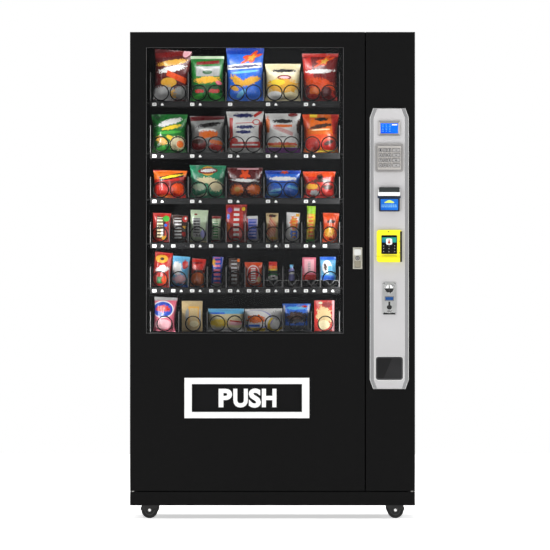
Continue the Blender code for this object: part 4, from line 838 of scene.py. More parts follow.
snack(1, 4, "bag", 0.142, 0.154, "orange", [
    ("box", 0.20, 0.96, 0.20, 0.04, 0, "yellow"), ("box", 0.92, 0.6, 0.10, 0.45, -6, "red"),
    ("box", 0.04, 0.55, 0.10, 0.5, 8, "flame"), ("heap", 0.52, 0.87, 0.17, 0.045, 0, "black"),
    ("heap", 0.5, 0.69, 0.30, 0.055, -10, "brown"), ("ellipse", 0.5, 0.60, 0.26, 0.02, -3, "cream"),
    ("box", 0.5, 0.32, 0.5, 0.16, 0, "flame"), ("ellipse", 0.28, 0.22, 0.26, 0.15, 0, "red"),
    ("ellipse", 0.76, 0.20, 0.24, 0.14, 0, "red"), ("heap", 0.72, 0.26, 0.14, 0.05, -20, "brown"),
    ("box", 0.64, 0.04, 0.24, 0.025, 0, "yellow")], flare=0.05, **WIDE_BAG)
# Row 3
LOW_BAG = dict(depth=0.042)
snack(2, 0, "bag", 0.134, 0.110, "red", [
    ("box", 0.5, 0.86, 0.5, 0.14, -6, "orange"), ("box", 0.54, 0.76, 0.36, 0.075, -12, "black"),
    ("heap", 0.54, 0.77, 0.30, 0.045, -12, "yellow"), ("box", 0.5, 0.52, 0.5, 0.09, -6, "dark_red"),
    ("heap", 0.74, 0.34, 0.20, 0.17, 0, "flame"), ("heap", 0.22, 0.32, 0.18, 0.15, 0, "red"),
    ("heap", 0.40, 0.07, 0.18, 0.06, 0, "orange")], flare=0.02, lean=1.5, **LOW_BAG)
snack(2, 1, "bag", 0.142, 0.131, "teal", [
    ("ellipse", 0.50, 0.82, 0.18, 0.14, 0, "gold"), ("ellipse", 0.50, 0.82, 0.27, 0.09, -3, "dark_red"),
    ("heap", 0.50, 0.83, 0.20, 0.05, -3, "white"), ("heap", 0.52, 0.52, 0.28, 0.10, 10, "cream"),
    ("heap", 0.26, 0.33, 0.17, 0.10, 0, "pale_green"), ("heap", 0.73, 0.34, 0.18, 0.14, 0, "cream"),
    ("box", 0.35, 0.08, 0.14, 0.04, -20, "pale_green")], flare=0.05, lean=1.0, **LOW_BAG)
snack(2, 2, "bag", 0.142, 0.122, "maroon", [
    ("box", 0.58, 0.95, 0.30, 0.02, 0, "pale_pink"), ("burst", 0.50, 0.76, 0.12, 0.15, 0, "flame"),
    ("heap", 0.50, 0.57, 0.38, 0.05, 3, "white"), ("box", 0.62, 0.46, 0.28, 0.02, 3, "black"),
    ("heap", 0.28, 0.25, 0.20, 0.17, 0, "orange"), ("heap", 0.76, 0.26, 0.20, 0.17, 0, "orange"),
    ("ellipse", 0.28, 0.28, 0.08, 0.08, 0, "gold")], **LOW_BAG)
snack(2, 3, "bag", 0.142, 0.110, "bright_blue", [
    ("box", 0.5, 0.93, 0.5, 0.07, 0, "blue"), ("burst", 0.55, 0.93, 0.09, 0.05, 0, "flame"),
    ("heap", 0.50, 0.70, 0.36, 0.075, 0, "white"), ("box", 0.56, 0.56, 0.28, 0.02, 0, "navy"),
    ("heap", 0.30, 0.27, 0.20, 0.05, -15, "sky"), ("heap", 0.78, 0.38, 0.18, 0.05, 20, "sky"),
    ("box", 0.2, 0.12, 0.17, 0.05, 0, "sky")], **LOW_BAG)
snack(2, 4, "bag", 0.128, 0.106, "red", [
    ("box", 0.5, 0.90, 0.5, 0.10, 0, "flame"), ("heap", 0.52, 0.76, 0.10, 0.13, 0, "black"),
    ("heap", 0.56, 0.65, 0.28, 0.06, 0, "brown"), ("heap", 0.26, 0.42, 0.22, 0.10, 0, "gold"),
    ("heap", 0.76, 0.40, 0.18, 0.09, 0, "brown"), ("heap", 0.36, 0.18, 0.14, 0.10, 0, "silver"),
    ("ellipse", 0.84, 0.17, 0.07, 0.08, 0, "red")], flare=0.05, shift=-0.006, **LOW_BAG)
# Row 4
SLIM = dict(depth=0.026, pull=0.03)
snack(3, 0, "bag", 0.072, 0.118, "red", [
    ("box", 0.45, 0.50, 0.24, 0.37, 8, "brown"), ("stripes", 0.42, 0.50, 0.15, 0.34, 0, "cream"),
    ("ellipse", 0.75, 0.80, 0.17, 0.10, 0, "leaf"), ("ellipse", 0.72, 0.58, 0.08, 0.05, 0, "bright_blue"),
    ("heap", 0.66, 0.16, 0.16, 0.07, 0, "gold")], flare=0.02, lean=2.0, shift=0.004, **SLIM)
snack(3, 1, "bag", 0.066, 0.110, "brown", [
    ("stripes", 0.42, 0.50, 0.20, 0.38, 0, "white"), ("ellipse", 0.84, 0.84, 0.17, 0.11, 0, "red"),
    ("ellipse", 0.86, 0.86, 0.06, 0.05, 0, "white"), ("heap", 0.78, 0.54, 0.10, 0.07, 0, "gold"),
    ("heap", 0.78, 0.30, 0.14, 0.10, 0, "red")], lean=2.0, shift=0.0, **SLIM)
snack(3, 2, "bag", 0.070, 0.130, "cream", [
    ("box", 0.5, 0.55, 0.5, 0.5, 0, "pale_green"), ("box", 0.38, 0.46, 0.20, 0.29, 0, "grey"),
    ("stripes", 0.38, 0.46, 0.16, 0.27, 0, "black"), ("ellipse", 0.34, 0.86, 0.09, 0.025, 0, "dark_red"),
    ("ellipse", 0.74, 0.26, 0.16, 0.13, 0, "lilac")], lean=2.0, shift=0.002, depth=0.026, pull=0.02)
snack(3, 3, "bag", 0.036, 0.106, "pale_green", [
    ("box", 0.5, 0.95, 0.5, 0.06, 0, "dark_red"), ("box", 0.5, 0.04, 0.5, 0.06, 0, "dark_red"),
    ("stripes", 0.42, 0.48, 0.26, 0.32, 0, "green")], lean=2.0, shift=-0.004, **SLIM)
snack(3, 4, "bag", 0.084, 0.152, "red", [
    ("box", 0.92, 0.5, 0.10, 0.45, 0, "dark_red"), ("box", 0.50, 0.5, 0.13, 0.42, 3, "white"),
    ("stripes", 0.50, 0.5, 0.15, 0.42, 0, "red"), ("ellipse", 0.20, 0.85, 0.11, 0.07, 0, "purple"),
    ("ellipse", 0.13, 0.68, 0.07, 0.07, 0, "bright_blue"), ("heap", 0.12, 0.40, 0.09, 0.10, 0, "orange"),
    ("ellipse", 0.84, 0.88, 0.08, 0.05, 0, "yellow")], lean=0.5, shift=0.002, depth=0.026, pull=0.02)
snack(3, 5, "bag", 0.048, 0.106, "white", [
    ("box", 0.5, 0.5, 0.36, 0.38, 0, "lilac"), ("stripes", 0.5, 0.5, 0.28, 0.36, 0, "blue"),
    ("box", 0.12, 0.50, 0.05, 0.40, 0, "red")], lean=-3.0, shift=-0.006, **SLIM)
snack(3, 6, "bag", 0.050, 0.118, "tan", [
    ("heap", 0.5, 0.90, 0.34, 0.05, 0, "brown"), ("stripes", 0.46, 0.45, 0.32, 0.34, 30, "red"),
    ("heap", 0.6, 0.14, 0.24, 0.05, 0, "gold")], shift=-0.005, **SLIM)
snack(3, 7, "bag", 0.054, 0.120, "white", [
    ("heap", 0.60, 0.62, 0.26, 0.24, 0, "orange"), ("heap", 0.58, 0.30, 0.24, 0.16, 0, "bright_blue"),
    ("box", 0.84, 0.90, 0.12, 0.05, 0, "gold"), ("stripes", 0.6, 0.5, 0.12, 0.36, 0, "gold")],
    lean=3.0, shift=-0.002, **SLIM)
snack(3, 8, "bag", 0.034, 0.146, "yellow", [
    ("box", 0.5, 0.90, 0.6, 0.12, 0, "lime"), ("box", 0.5, 0.04, 0.6, 0.05, 0, "leaf"),
    ("stripes", 0.5, 0.46, 0.26, 0.32, 0, "orange")], lean=2.0, shift=-0.004, depth=0.02, pull=0.01)
snack(3, 9, "bag", 0.062, 0.118, "flame", [
    ("heap", 0.5, 0.70, 0.26, 0.06, 0, "brown"), ("heap", 0.42, 0.36, 0.28, 0.16, 0, "gold"),
    ("ellipse", 0.46, 0.12, 0.08, 0.05, 0, "dark_red")], lean=2.0, flare=0.08, **SLIM)
# Row 5
snack(4, 0, "bag", 0.070, 0.140, "red", [
    ("ellipse", 0.48, 0.80, 0.30, 0.11, 0, "gold"), ("ellipse", 0.50, 0.80, 0.10, 0.04, 0, "brown"),
    ("heap", 0.50, 0.52, 0.28, 0.09, 0, "white"), ("box", 0.40, 0.22, 0.15, 0.09, 0, "green"),
    ("ellipse", 0.66, 0.22, 0.20, 0.11, 0, "flame")], lean=6.0, shift=0.002, **SLIM)
snack(4, 1, "bag", 0.068, 0.124, "sky", [
    ("box", 0.5, 0.95, 0.5, 0.05, 0, "sky"), ("heap", 0.32, 0.60, 0.24, 0.22, 0, "white"),
    ("heap", 0.76, 0.72, 0.17, 0.13, 0, "red"), ("heap", 0.46, 0.26, 0.34, 0.14, 0, "pale_pink"),
    ("box", 0.5, 0.04, 0.5, 0.05, 0, "bright_blue")], lean=4.0, shift=0.002, **SLIM)
snack(4, 2, "bag", 0.054, 0.114, "orange", [
    ("box", 0.5, 0.76, 0.6, 0.26, 0, "red"), ("heap", 0.48, 0.84, 0.32, 0.035, 0, "dark_red"),
    ("ellipse", 0.5, 0.56, 0.36, 0.045, 0, "brown")], lean=5.0, shift=-0.004, **SLIM)
snack(4, 3, "bag", 0.042, 0.122, "lilac", [
    ("box", 0.5, 0.5, 0.42, 0.5, 0, "blue"), ("stripes", 0.5, 0.52, 0.26, 0.44, 0, "pink"),
    ("heap", 0.24, 0.80, 0.14, 0.12, 0, "gold"), ("box", 0.5, 0.06, 0.4, 0.07, 0, "silver")],
    lean=4.0, shift=-0.003, **SLIM)
snack(4, 4, "bag", 0.046, 0.116, "brown", [
    ("stripes", 0.46, 0.50, 0.24, 0.42, 0, "silver"), ("ellipse", 0.84, 0.92, 0.12, 0.06, 0, "orange")],
    shift=-0.004, **SLIM)
snack(4, 5, "bag", 0.070, 0.100, "flame", [
    ("ellipse", 0.48, 0.52, 0.36, 0.36, 20, "white"), ("ellipse", 0.48, 0.52, 0.32, 0.33, 20, "red"),
    ("stripes", 0.48, 0.52, 0.13, 0.30, 0, "white"), ("heap", 0.80, 0.30, 0.10, 0.10, 0, "tan")],
    shift=-0.004, **SLIM)
BRACKET = dict(rise=0.028)
snack(4, 6, "bag", 0.036, 0.074, "green", [
    ("box", 0.5, 0.90, 0.5, 0.14, 0, "red"), ("box", 0.5, 0.68, 0.5, 0.09, 0, "orange"),
    ("box", 0.5, 0.56, 0.5, 0.04, 0, "yellow"), ("box", 0.5, 0.40, 0.5, 0.08, 0, "dark_green"),
    ("ellipse", 0.5, 0.13, 0.50, 0.13, 0, "white"), ("heap", 0.5, 0.13, 0.20, 0.05, 0, "black")],
    shift=-0.002, depth=0.020, pull=0.0, flare=-0.25, **BRACKET)
snack(4, 7, "bottle", 0.026, 0.064, "lilac", [
    ("box", 0.5, 0.48, 0.5, 0.08, 0, "white"), ("box", 0.5, 0.90, 0.5, 0.10, 0, "sky")], shift=-0.003,
    rise=0.026)
snack(4, 8, "carton", 0.054, 0.090, "pink", [
    ("box", 0.5, 0.62, 0.36, 0.30, 0, "pale_pink"), ("stripes", 0.50, 0.58, 0.10, 0.24, 0, "grey"),
    ("box", 0.5, 0.12, 0.5, 0.12, 0, "red")], shift=-0.008, depth=0.016, **BRACKET)
snack(4, 9, "bag", 0.064, 0.094, "sky", [
    ("box", 0.5, 0.93, 0.5, 0.07, 0, "bright_blue"), ("ellipse", 0.44, 0.55, 0.30, 0.30, -20, "white"),
    ("heap", 0.36, 0.55, 0.10, 0.16, -20, "brown"), ("heap", 0.62, 0.45, 0.16, 0.16, 0, "sky"),
    ("box", 0.5, 0.10, 0.4, 0.10, 0, "bright_blue")], shift=-0.009, depth=0.020, pull=0.02, **BRACKET)
# Row 6
snack(5, 0, "bag", 0.090, 0.138, "pink", [
    ("box", 0.5, 0.95, 0.5, 0.06, 0, "silver"), ("ellipse", 0.40, 0.64, 0.44, 0.24, 0, "white"),
    ("ellipse", 0.40, 0.64, 0.40, 0.215, 0, "blue"), ("heap", 0.40, 0.66, 0.28, 0.10, 0, "red"),
    ("ellipse", 0.40, 0.22, 0.34, 0.14, 0, "pale_pink")], lean=3.0, flare=0.05, shift=-0.002, depth=0.034)
snack(5, 1, "carton", 0.082, 0.122, "tan", [
    ("box", 0.58, 0.52, 0.26, 0.30, 0, "gold"), ("box", 0.58, 0.52, 0.20, 0.25, 0, "tan"),
    ("ellipse", 0.26, 0.56, 0.09, 0.20, 10, "grey"), ("box", 0.88, 0.52, 0.05, 0.20, 0, "silver"),
    ("ellipse", 0.60, 0.26, 0.22, 0.10, 0, "cream")], shift=-0.004, depth=0.022, gloss=0.45)
snack(5, 2, "bag", 0.144, 0.092, "cream", [
    ("box", 0.5, 0.90, 0.5, 0.13, 0, "sky"), ("box", 0.26, 0.80, 0.20, 0.04, 0, "bright_blue"),
    ("heap", 0.30, 0.38, 0.26, 0.16, 0, "yellow"), ("heap", 0.78, 0.38, 0.22, 0.10, 0, "pale_pink"),
    ("box", 0.78, 0.44, 0.18, 0.03, 10, "red"), ("box", 0.5, 0.07, 0.5, 0.09, 0, "white")],
    depth=0.040, pull=0.02)
snack(5, 3, "bag", 0.150, 0.092, "white", [
    ("ellipse", 0.30, 0.52, 0.44, 0.40, 0, "lilac"), ("ellipse", 0.28, 0.54, 0.40, 0.37, 0, "white"),
    ("heap", 0.30, 0.54, 0.24, 0.17, 0, "orange"), ("box", 0.2, 0.26, 0.20, 0.05, 0, "bright_blue"),
    ("box", 0.3, 0.10, 0.24, 0.07, 0, "yellow"), ("ring", 0.86, 0.40, 0.24, 0.42, 20, "yellow"),
    ("heap", 0.86, 0.70, 0.16, 0.20, 0, "silver")], depth=0.040, pull=0.02, lean=-1.0)
snack(5, 4, "bag", 0.112, 0.112, "bright_blue", [
    ("box", 0.5, 0.10, 0.5, 0.12, 0, "clear"), ("heap", 0.5, 0.50, 0.42, 0.22, 0, "black"),
    ("heap", 0.44, 0.55, 0.26, 0.12, 0, "brown"), ("heap", 0.5, 0.84, 0.36, 0.06, 0, "sky"),
    ("ellipse", 0.78, 0.90, 0.10, 0.04, 0, "red"), ("box", 0.06, 0.55, 0.03, 0.40, 0, "silver"),
    ("box", 0.93, 0.52, 0.035, 0.44, 0, "silver")], shift=-0.002, depth=0.036, painted_glint_strength=1.0)
snack(5, 5, "carton", 0.080, 0.124, "red", [
    ("heap", 0.48, 0.50, 0.36, 0.34, 0, "tan"), ("box", 0.94, 0.5, 0.05, 0.5, 0, "pale_pink"),
    ("heap", 0.64, 0.86, 0.24, 0.09, 0, "dark_red"), ("ellipse", 0.30, 0.92, 0.10, 0.04, 0, "pale_green"),
    ("ellipse", 0.46, 0.22, 0.30, 0.15, 0, "cream"), ("box", 0.08, 0.2, 0.08, 0.2, 0, "red")],
    shift=-0.004, depth=0.026, gloss=0.40)


def make_brackets():
    """The bent wire shelf that lifts small items at the front of a narrow lane."""
    row, lines = 4, []
    edges, level, y = lane_edges(row), LEVELS[row], SPIRAL_START + 0.004
    for lane in range(6, 10):
        left, right = edges[lane] + 0.003, edges[lane + 1] - 0.004
        middle = (left + right) / 2
        top, dip = level + 0.0285, level + 0.008
        lines.append([(left, y + 0.05, top), (left, y, top), (left + 0.018, y, top), (middle, y, dip),
                      (right - 0.018, y, top), (right, y, top), (right, y, level + 0.002),
                       (middle + 0.004, y, level + 0.002)])
        lines.append([(right, y, top), (right, y + 0.05, top)])
    wires("item_brackets", lines, 0.0009, extra["wire"], tray_body(row))


make_brackets()

# ---------------------------------------------------------------- payment column
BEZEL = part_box("control_bezel")
BX = (BEZEL[0].x + BEZEL[1].x) / 2
BEZEL_TOP, BEZEL_BOTTOM, BEZEL_FACE = BEZEL[1].z, BEZEL[0].z, BEZEL[0].y
# How far the middle of each payment module is below the bezel's top.
DISPLAY_DROP, KEYPAD_DROP, BILL_DROP = 0.0802, 0.1974, 0.3631
READER_DROP, COIN_DROP, CHANGE_DROP = 0.5491, 0.7573, 1.0364
BILL_HALF_HEIGHT = 0.0482
MODULE_BACK = BEZEL_FACE - 0.0003
COLUMN = "payment_door"


def shifted(points, x=0.0, z=0.0):
    return [(px + x, pz + z) for px, pz in points]


def bezel_outline(side, end):
    half, top, bottom = (BEZEL[1].x - BEZEL[0].x) / 2 - side, BEZEL_TOP - end, BEZEL_BOTTOM + end
    rise = 0.037 - end
    right = [(half, bottom + rise), (half, top - rise), (half - 0.013, top)]
    left = [(-x, z) for x, z in reversed(right)]
    return [(BX + x, z) for x, z in right + left + [(0.013 - half, bottom), (half - 0.013, bottom)]]


def rim_line(name, outline, y, radius, paint):
    wires(name, [[(x, y, z) for x, z in outline]], radius, paint, COLUMN, closed=True, sides=3)


# Pale lines along the bezel's outer edge and the edge of its face: painted highlights on the rounded edges.
rim_line("bezel_outer_rim", bezel_outline(0.0012, 0.0012), FRONT - 0.0012, 0.0013, extra["rim"])
rim_line("bezel_inner_rim", bezel_outline(0.0165, 0.003), BEZEL_FACE + 0.0004, 0.0006, extra["rim"])


def make_display():
    middle, face = BEZEL_TOP - DISPLAY_DROP, MODULE_BACK - 0.004
    outer = rectangle((BX - 0.0432, BX + 0.0432), (middle - 0.029, middle + 0.029))
    inner = rectangle((BX - 0.0348, BX + 0.0348), (middle - 0.0198, middle + 0.0198))
    # Painted shade and light: the frame's top and bottom bars take the dark grey and its sides the light grey, as
    # shaded and lit copies of one grey.
    for name, sides, paint in (("display_bars_painted_shade", (0, 2), extra["bar_dark"]),
                               ("display_cheeks_painted_light", (1, 3), extra["bar_light"])):
        bm = bmesh.new()
        for side in sides:
            ahead = (side + 1) % 4
            corners = [(outer[side], -0.0024), (outer[ahead], -0.0024), (inner[ahead], -0.0002), (inner[side], -0.0002)]
            front = [bm.verts.new((x, face + y, z)) for (x, z), y in corners]
            back = [bm.verts.new((x, face + 0.0001, z)) for (x, z), _ in corners]
            bm.faces.new(front)
            bm.faces.new(back)
            for k in range(4):
                bm.faces.new((front[k], front[(k + 1) % 4], back[(k + 1) % 4], back[k]))
        piece(name, bm, paint, COLUMN, smooth=10.0)
    plates("display_screen", [rounded(BX, middle, 0.0698, 0.0398, 0.0015, 3)], face - 0.0002, face + 0.0018,
           extra["screen"], COLUMN)
    marks = bmesh.new()
    for column in range(3):
        for line in range(5):
            x = BX - 0.026 + 0.014 * column
            z = middle + 0.0135 - 0.0063 * line
            wide = 0.0072 - 0.0012 * ((column + line) % 3)
            add_plate(marks, rectangle((x - wide / 2, x + wide / 2), (z - 0.0011, z + 0.0011)), face - 0.0004, face)
    piece("display_readout", marks, extra["screen_mark"], COLUMN)
    bar = rectangle((BX + 0.010, BX + 0.031), (middle + 0.0118, middle + 0.0165))
    plates("display_header", [bar], face - 0.0004, face, extra["letter"], COLUMN)


def make_keypad_trim():
    middle, face = BEZEL_TOP - KEYPAD_DROP, MODULE_BACK - 0.006
    bm = bmesh.new()
    add_ring(bm, rounded(BX, middle, 0.0975, 0.0985, 0.006), rounded(BX, middle, 0.0955, 0.0965, 0.005),
             face - 0.0004, face + 0.0002)
    piece("keypad_inner_line", bm, extra["grey_ink"], COLUMN)
    bm = bmesh.new()
    add_ring(bm, rounded(BX, middle, 0.1136, 0.115, 0.011), rounded(BX, middle, 0.1105, 0.112, 0.0098),
             face - 0.0006, face + 0.0002)
    piece("keypad_outer_bead", bm, extra["bar_light"], COLUMN)


LEGENDS = (("1", "2", "3", "<"), ("4", "5", "6", ">"), ("7", "8", "9", "="), ("*", "0", "#", "+"))


def make_keypad_panel():
    middle, face = BEZEL_TOP - KEYPAD_DROP, MODULE_BACK - 0.006
    spans = []
    for row in range(1, 5):
        low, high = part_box(f"key_row{row}_column1")
        spans.append((low.z - 0.0006, high.z + 0.0006))
    columns = []
    for name in ("column1", "column2", "column3", "wide"):
        low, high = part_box(f"key_row1_{name}")
        columns.append((low.x - 0.0006, high.x + 0.0006))
    bars = []
    levels = [middle + 0.0476] + [z for low, high in spans for z in (high, low)] + [middle - 0.0476]
    for high, low in zip(levels[::2], levels[1::2]):
        bars.append(rectangle((BX - 0.0472, BX + 0.0472), (low, high)))
    places = [BX - 0.0472] + [x for pair in columns for x in pair] + [BX + 0.0472]
    for low, high in spans:
        for left, right in zip(places[::2], places[1::2]):
            bars.append(rectangle((left, right), (low, high)))
    plates("keypad_panel", bars, face - 0.0003, face + 0.0002, extra["panel_light"], COLUMN)


def make_key_legends():
    for row, texts in enumerate(LEGENDS):
        for column, text in enumerate(texts):
            node = f"key_row{row + 1}_{'wide' if column == 3 else f'column{column + 1}'}"
            low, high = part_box(node)
            x, z = (low.x + high.x) / 2, (low.z + high.z) / 2
            wide = high.x - low.x
            tall = 0.0075 if text in "0123456789" else 0.0045
            legend = lettering(f"legend_{node[4:]}", [(text, x, z, 0.0050 if wide < 0.02 else 0.0085, tall)],
                               low.y - 0.0003, 0.0004, extra["ink"], node, bold=0.02)
            bm = bmesh.new()
            bm.from_mesh(legend.data)
            add_ring(bm, rounded(x, z, wide - 0.0014, 0.0134, 0.0018, 3),
                     rounded(x, z, wide - 0.0030, 0.0118, 0.0012, 3),
                     low.y - 0.0003, low.y + 0.0001)
            bm.to_mesh(legend.data)
            bm.free()


def make_bill_trim():
    back = MODULE_BACK
    top = BEZEL_TOP - BILL_DROP + BILL_HALF_HEIGHT
    lip = top - 0.0271
    plates("bill_lip", [rounded(BX - 0.001, lip, 0.0870, 0.0150, 0.0012, 3)], back - 0.0299, back - 0.0262,
           extra["letter"], COLUMN, 0.0005)
    arms = []
    for side in (-1, 1):
        x = BX - 0.001 + side * 0.0435
        arms.append([(x, lip), (x - side * 0.0035, lip), (x - side * 0.0035, lip + 0.013), (x, lip + 0.020)])
    plates("bill_lip_arms", arms, back - 0.0240, back - 0.0100, extra["letter"], COLUMN, 0.0004)
    slot = top - 0.028 - 0.0056 - 0.0028
    bm = bmesh.new()
    add_ring(bm, rounded(BX - 0.001, slot - 0.0015, 0.0920, 0.0125, 0.0020, 3),
             rounded(BX, slot, 0.0680, 0.0052, 0.0005, 3), back - 0.0150, back - 0.0090)
    piece("bill_slot_band", bm, extra["navy"], COLUMN, 0.0004)
    foot = top - 0.0950
    middle = (slot - 0.008 + foot) / 2
    tall = slot - 0.008 - foot
    plates("bill_plate", [rounded(BX, middle, 0.0770, tall, 0.0050)], back - 0.0125, back - 0.0095, extra["navy"],
           COLUMN, 0.0005)
    plates("bill_panel", [rounded(BX, middle + 0.0005, 0.0690, tall - 0.0070, 0.0025)], back - 0.0129, back - 0.0120,
           extra["blue_panel"], COLUMN)
    z = top - 0.0567
    arrow = shifted([(-0.020, -0.0060), (0.020, -0.0060), (0.0185, -0.0025), (0.004, 0.0055), (-0.004, 0.0055),
                     (-0.0185, -0.0025)], BX, z)
    plates("bill_arrow", [arrow], back - 0.0134, back - 0.0126, extra["arrow"], COLUMN)
    draw, bars = random.Random(4), []
    for line in range(2):
        x = BX - 0.031
        while x < BX + 0.027:
            wide = draw.uniform(0.003, 0.008)
            low = z - 0.0145 - 0.0065 * line
            bars.append(rectangle((x, x + wide), (low - 0.0018, low + 0.0018)))
            x += wide + 0.0016
    plates("bill_print", bars, back - 0.0132, back - 0.0126, extra["pale_blue"], COLUMN)


def make_reader_trim():
    middle, face = BEZEL_TOP - READER_DROP, MODULE_BACK - 0.010
    top, bottom = middle + 0.0645, middle - 0.0645
    plates("reader_screen_surround", [rounded(BX - 0.0004, middle + 0.0056, 0.0625, 0.0750, 0.0035)], face - 0.0008,
           face + 0.0005, extra["black_gloss"], COLUMN, 0.0003)
    strip = middle + 0.0242
    plates("reader_screen_strip", [rounded(BX - 0.0004, strip, 0.0580, 0.0200, 0.0015, 3)], face - 0.0011,
           face - 0.0006, extra["strip"], COLUMN)
    plates("reader_icon", [rounded(BX - 0.0010, strip - 0.0065, 0.0240, 0.0250, 0.0055)], face - 0.0014,
           face - 0.0009, extra["letter"], COLUMN)
    plates("reader_icon_mark",
           [disc(BX - 0.0010, strip - 0.0095, 0.0052), rounded(BX - 0.001, strip - 0.001, 0.004, 0.007, 0.001, 2)],
           face - 0.0017, face - 0.0012, extra["red_print"], COLUMN)
    dots = [disc(BX + x, middle + z, 0.0016, 12)
            for x in (-0.0229, -0.0014, 0.0213) for z in (0.0008, -0.0100, -0.0223)]
    plates("reader_dot_keys", dots, face - 0.0012, face - 0.0006, extra["bar_light"], COLUMN)
    # Black plates in the speaker holes: painted shade inside them.
    plates("reader_speaker_holes", [disc(BX - 0.0034, top - 0.0075, 0.0024, 16),
                                    rounded(BX - 0.0014, middle - 0.0376, 0.0130, 0.0030, 0.0012, 3)],
           face - 0.0003, face + 0.0010, extra["dark"], COLUMN)
    curve = [(-0.031, 0.0015), (-0.016, 0.0050), (0.0, 0.0062), (0.016, 0.0050), (0.031, 0.0015), (0.031, -0.004),
             (-0.031, -0.004)]
    plates("reader_ledge_shade", [shifted(curve, BX, bottom + 0.0245)], face - 0.0010, face + 0.0010, extra["olive"],
           COLUMN, 0.0004)
    # The swipe slot is a black plate: partly its own black and partly painted shade inside the slot.
    side = (BX + 0.0425, BX + 0.0506)
    plates("reader_swipe_slot", [rectangle(side, (bottom + 0.0245, top - 0.006))], face - 0.0006, face + 0.0015,
           extra["dark"], COLUMN, 0.0003)
    plates("reader_swipe_slot_foot", [rectangle(side, (bottom + 0.001, bottom + 0.0245))], MODULE_BACK - 0.0226,
           MODULE_BACK - 0.0200, extra["dark"], COLUMN, 0.0003)
    plates("reader_side_marks",
           [disc(BX + 0.0405, middle + 0.018, 0.0013, 12), disc(BX + 0.0405, middle - 0.027, 0.0018, 12)],
           face - 0.0005, face + 0.0005, extra["grey_ink"], COLUMN)


def make_coin_trim():
    middle, face = BEZEL_TOP - COIN_DROP, MODULE_BACK - 0.004
    entry = middle + 0.0385
    bm = bmesh.new()
    for x in (-0.0212, 0.0212):
        for z in (-0.0585, 0.0585):
            add_plate(bm, disc(BX + x, middle + z, 0.0036, 18), face - 0.0012, face + 0.0002)
    add_ring(bm, disc(BX, entry, 0.0190), disc(BX, entry, 0.0163), face - 0.0012, face + 0.0002)
    piece("coin_plate_screws", bm, extra["chrome"], COLUMN, 0.0004)
    bm = bmesh.new()
    for side in (-1, 1):
        arc = [(side * 0.0158 * math.cos(math.radians(a)), 0.0158 * math.sin(math.radians(a))) for a in range(8, 84, 5)]
        add_plate(bm, shifted([(side * 0.0024, 0.0015)] + arc, BX, entry), face + 0.0010, face + 0.0023)
    piece("coin_entry_cheeks", bm, extra["letter"], COLUMN, 0.0003)
    # The coin entry's throat is a black plate: painted shade inside the slot.
    arc = [(0.0160 * math.cos(math.radians(a)), 0.0160 * math.sin(math.radians(a))) for a in range(180, 361, 10)]
    left = [point for point in arc if point[0] < -0.0019] + [(-0.0019, -0.0158), (-0.0019, 0.0)]
    right = [(0.0019, 0.0), (0.0019, -0.0158)] + [point for point in arc if point[0] > 0.0019]
    plates("coin_entry_throat", [shifted(left, BX, entry), shifted(right, BX, entry)], face + 0.0004, face + 0.0023,
           extra["dark"], COLUMN)
    button = middle - 0.0012
    bm = bmesh.new()
    add_ring(bm, rounded(BX, button, 0.0370, 0.0190, 0.002, 3), rounded(BX, button, 0.0322, 0.0142, 0.001, 3),
             face - 0.0010, face + 0.0002)
    piece("coin_button_surround", bm, extra["bar_dark"], COLUMN, 0.0003)
    # A black keyhole plate: painted shade inside the coin return's keyhole.
    low = middle - 0.0290
    key = [(-0.0038, 0.0160), (-0.0038, 0.0020)]
    key += [(0.0102 * math.cos(math.radians(a)), 0.0102 * math.sin(math.radians(a)) - 0.006)
            for a in range(150, 391, 20)]
    key += [(0.0038, 0.0020), (0.0038, 0.0160)]
    plates("coin_return_keyhole", [shifted(key, BX, low)], face - 0.0003, face + 0.0006, extra["dark"], COLUMN)
    # A black lip at the plate's foot: partly its own black and partly painted shade under the plate.
    foot = middle - 0.0615
    lip = [(-0.0245, -0.003), (0.0245, -0.003), (0.0245, 0.003), (0.012, 0.0042), (0.004, 0.0025), (-0.004, 0.0025),
           (-0.012, 0.0042), (-0.0245, 0.003)]
    plates("coin_plate_foot", [shifted(lip, BX, foot)], face - 0.0022, face + 0.0002, extra["dark"], COLUMN,
           0.0004)
    plates("coin_plate_apron", [rounded(BX, foot + 0.010, 0.0200, 0.0100, 0.003, 4)], face - 0.0012, face + 0.0002,
           extra["chrome"], COLUMN, 0.0004)


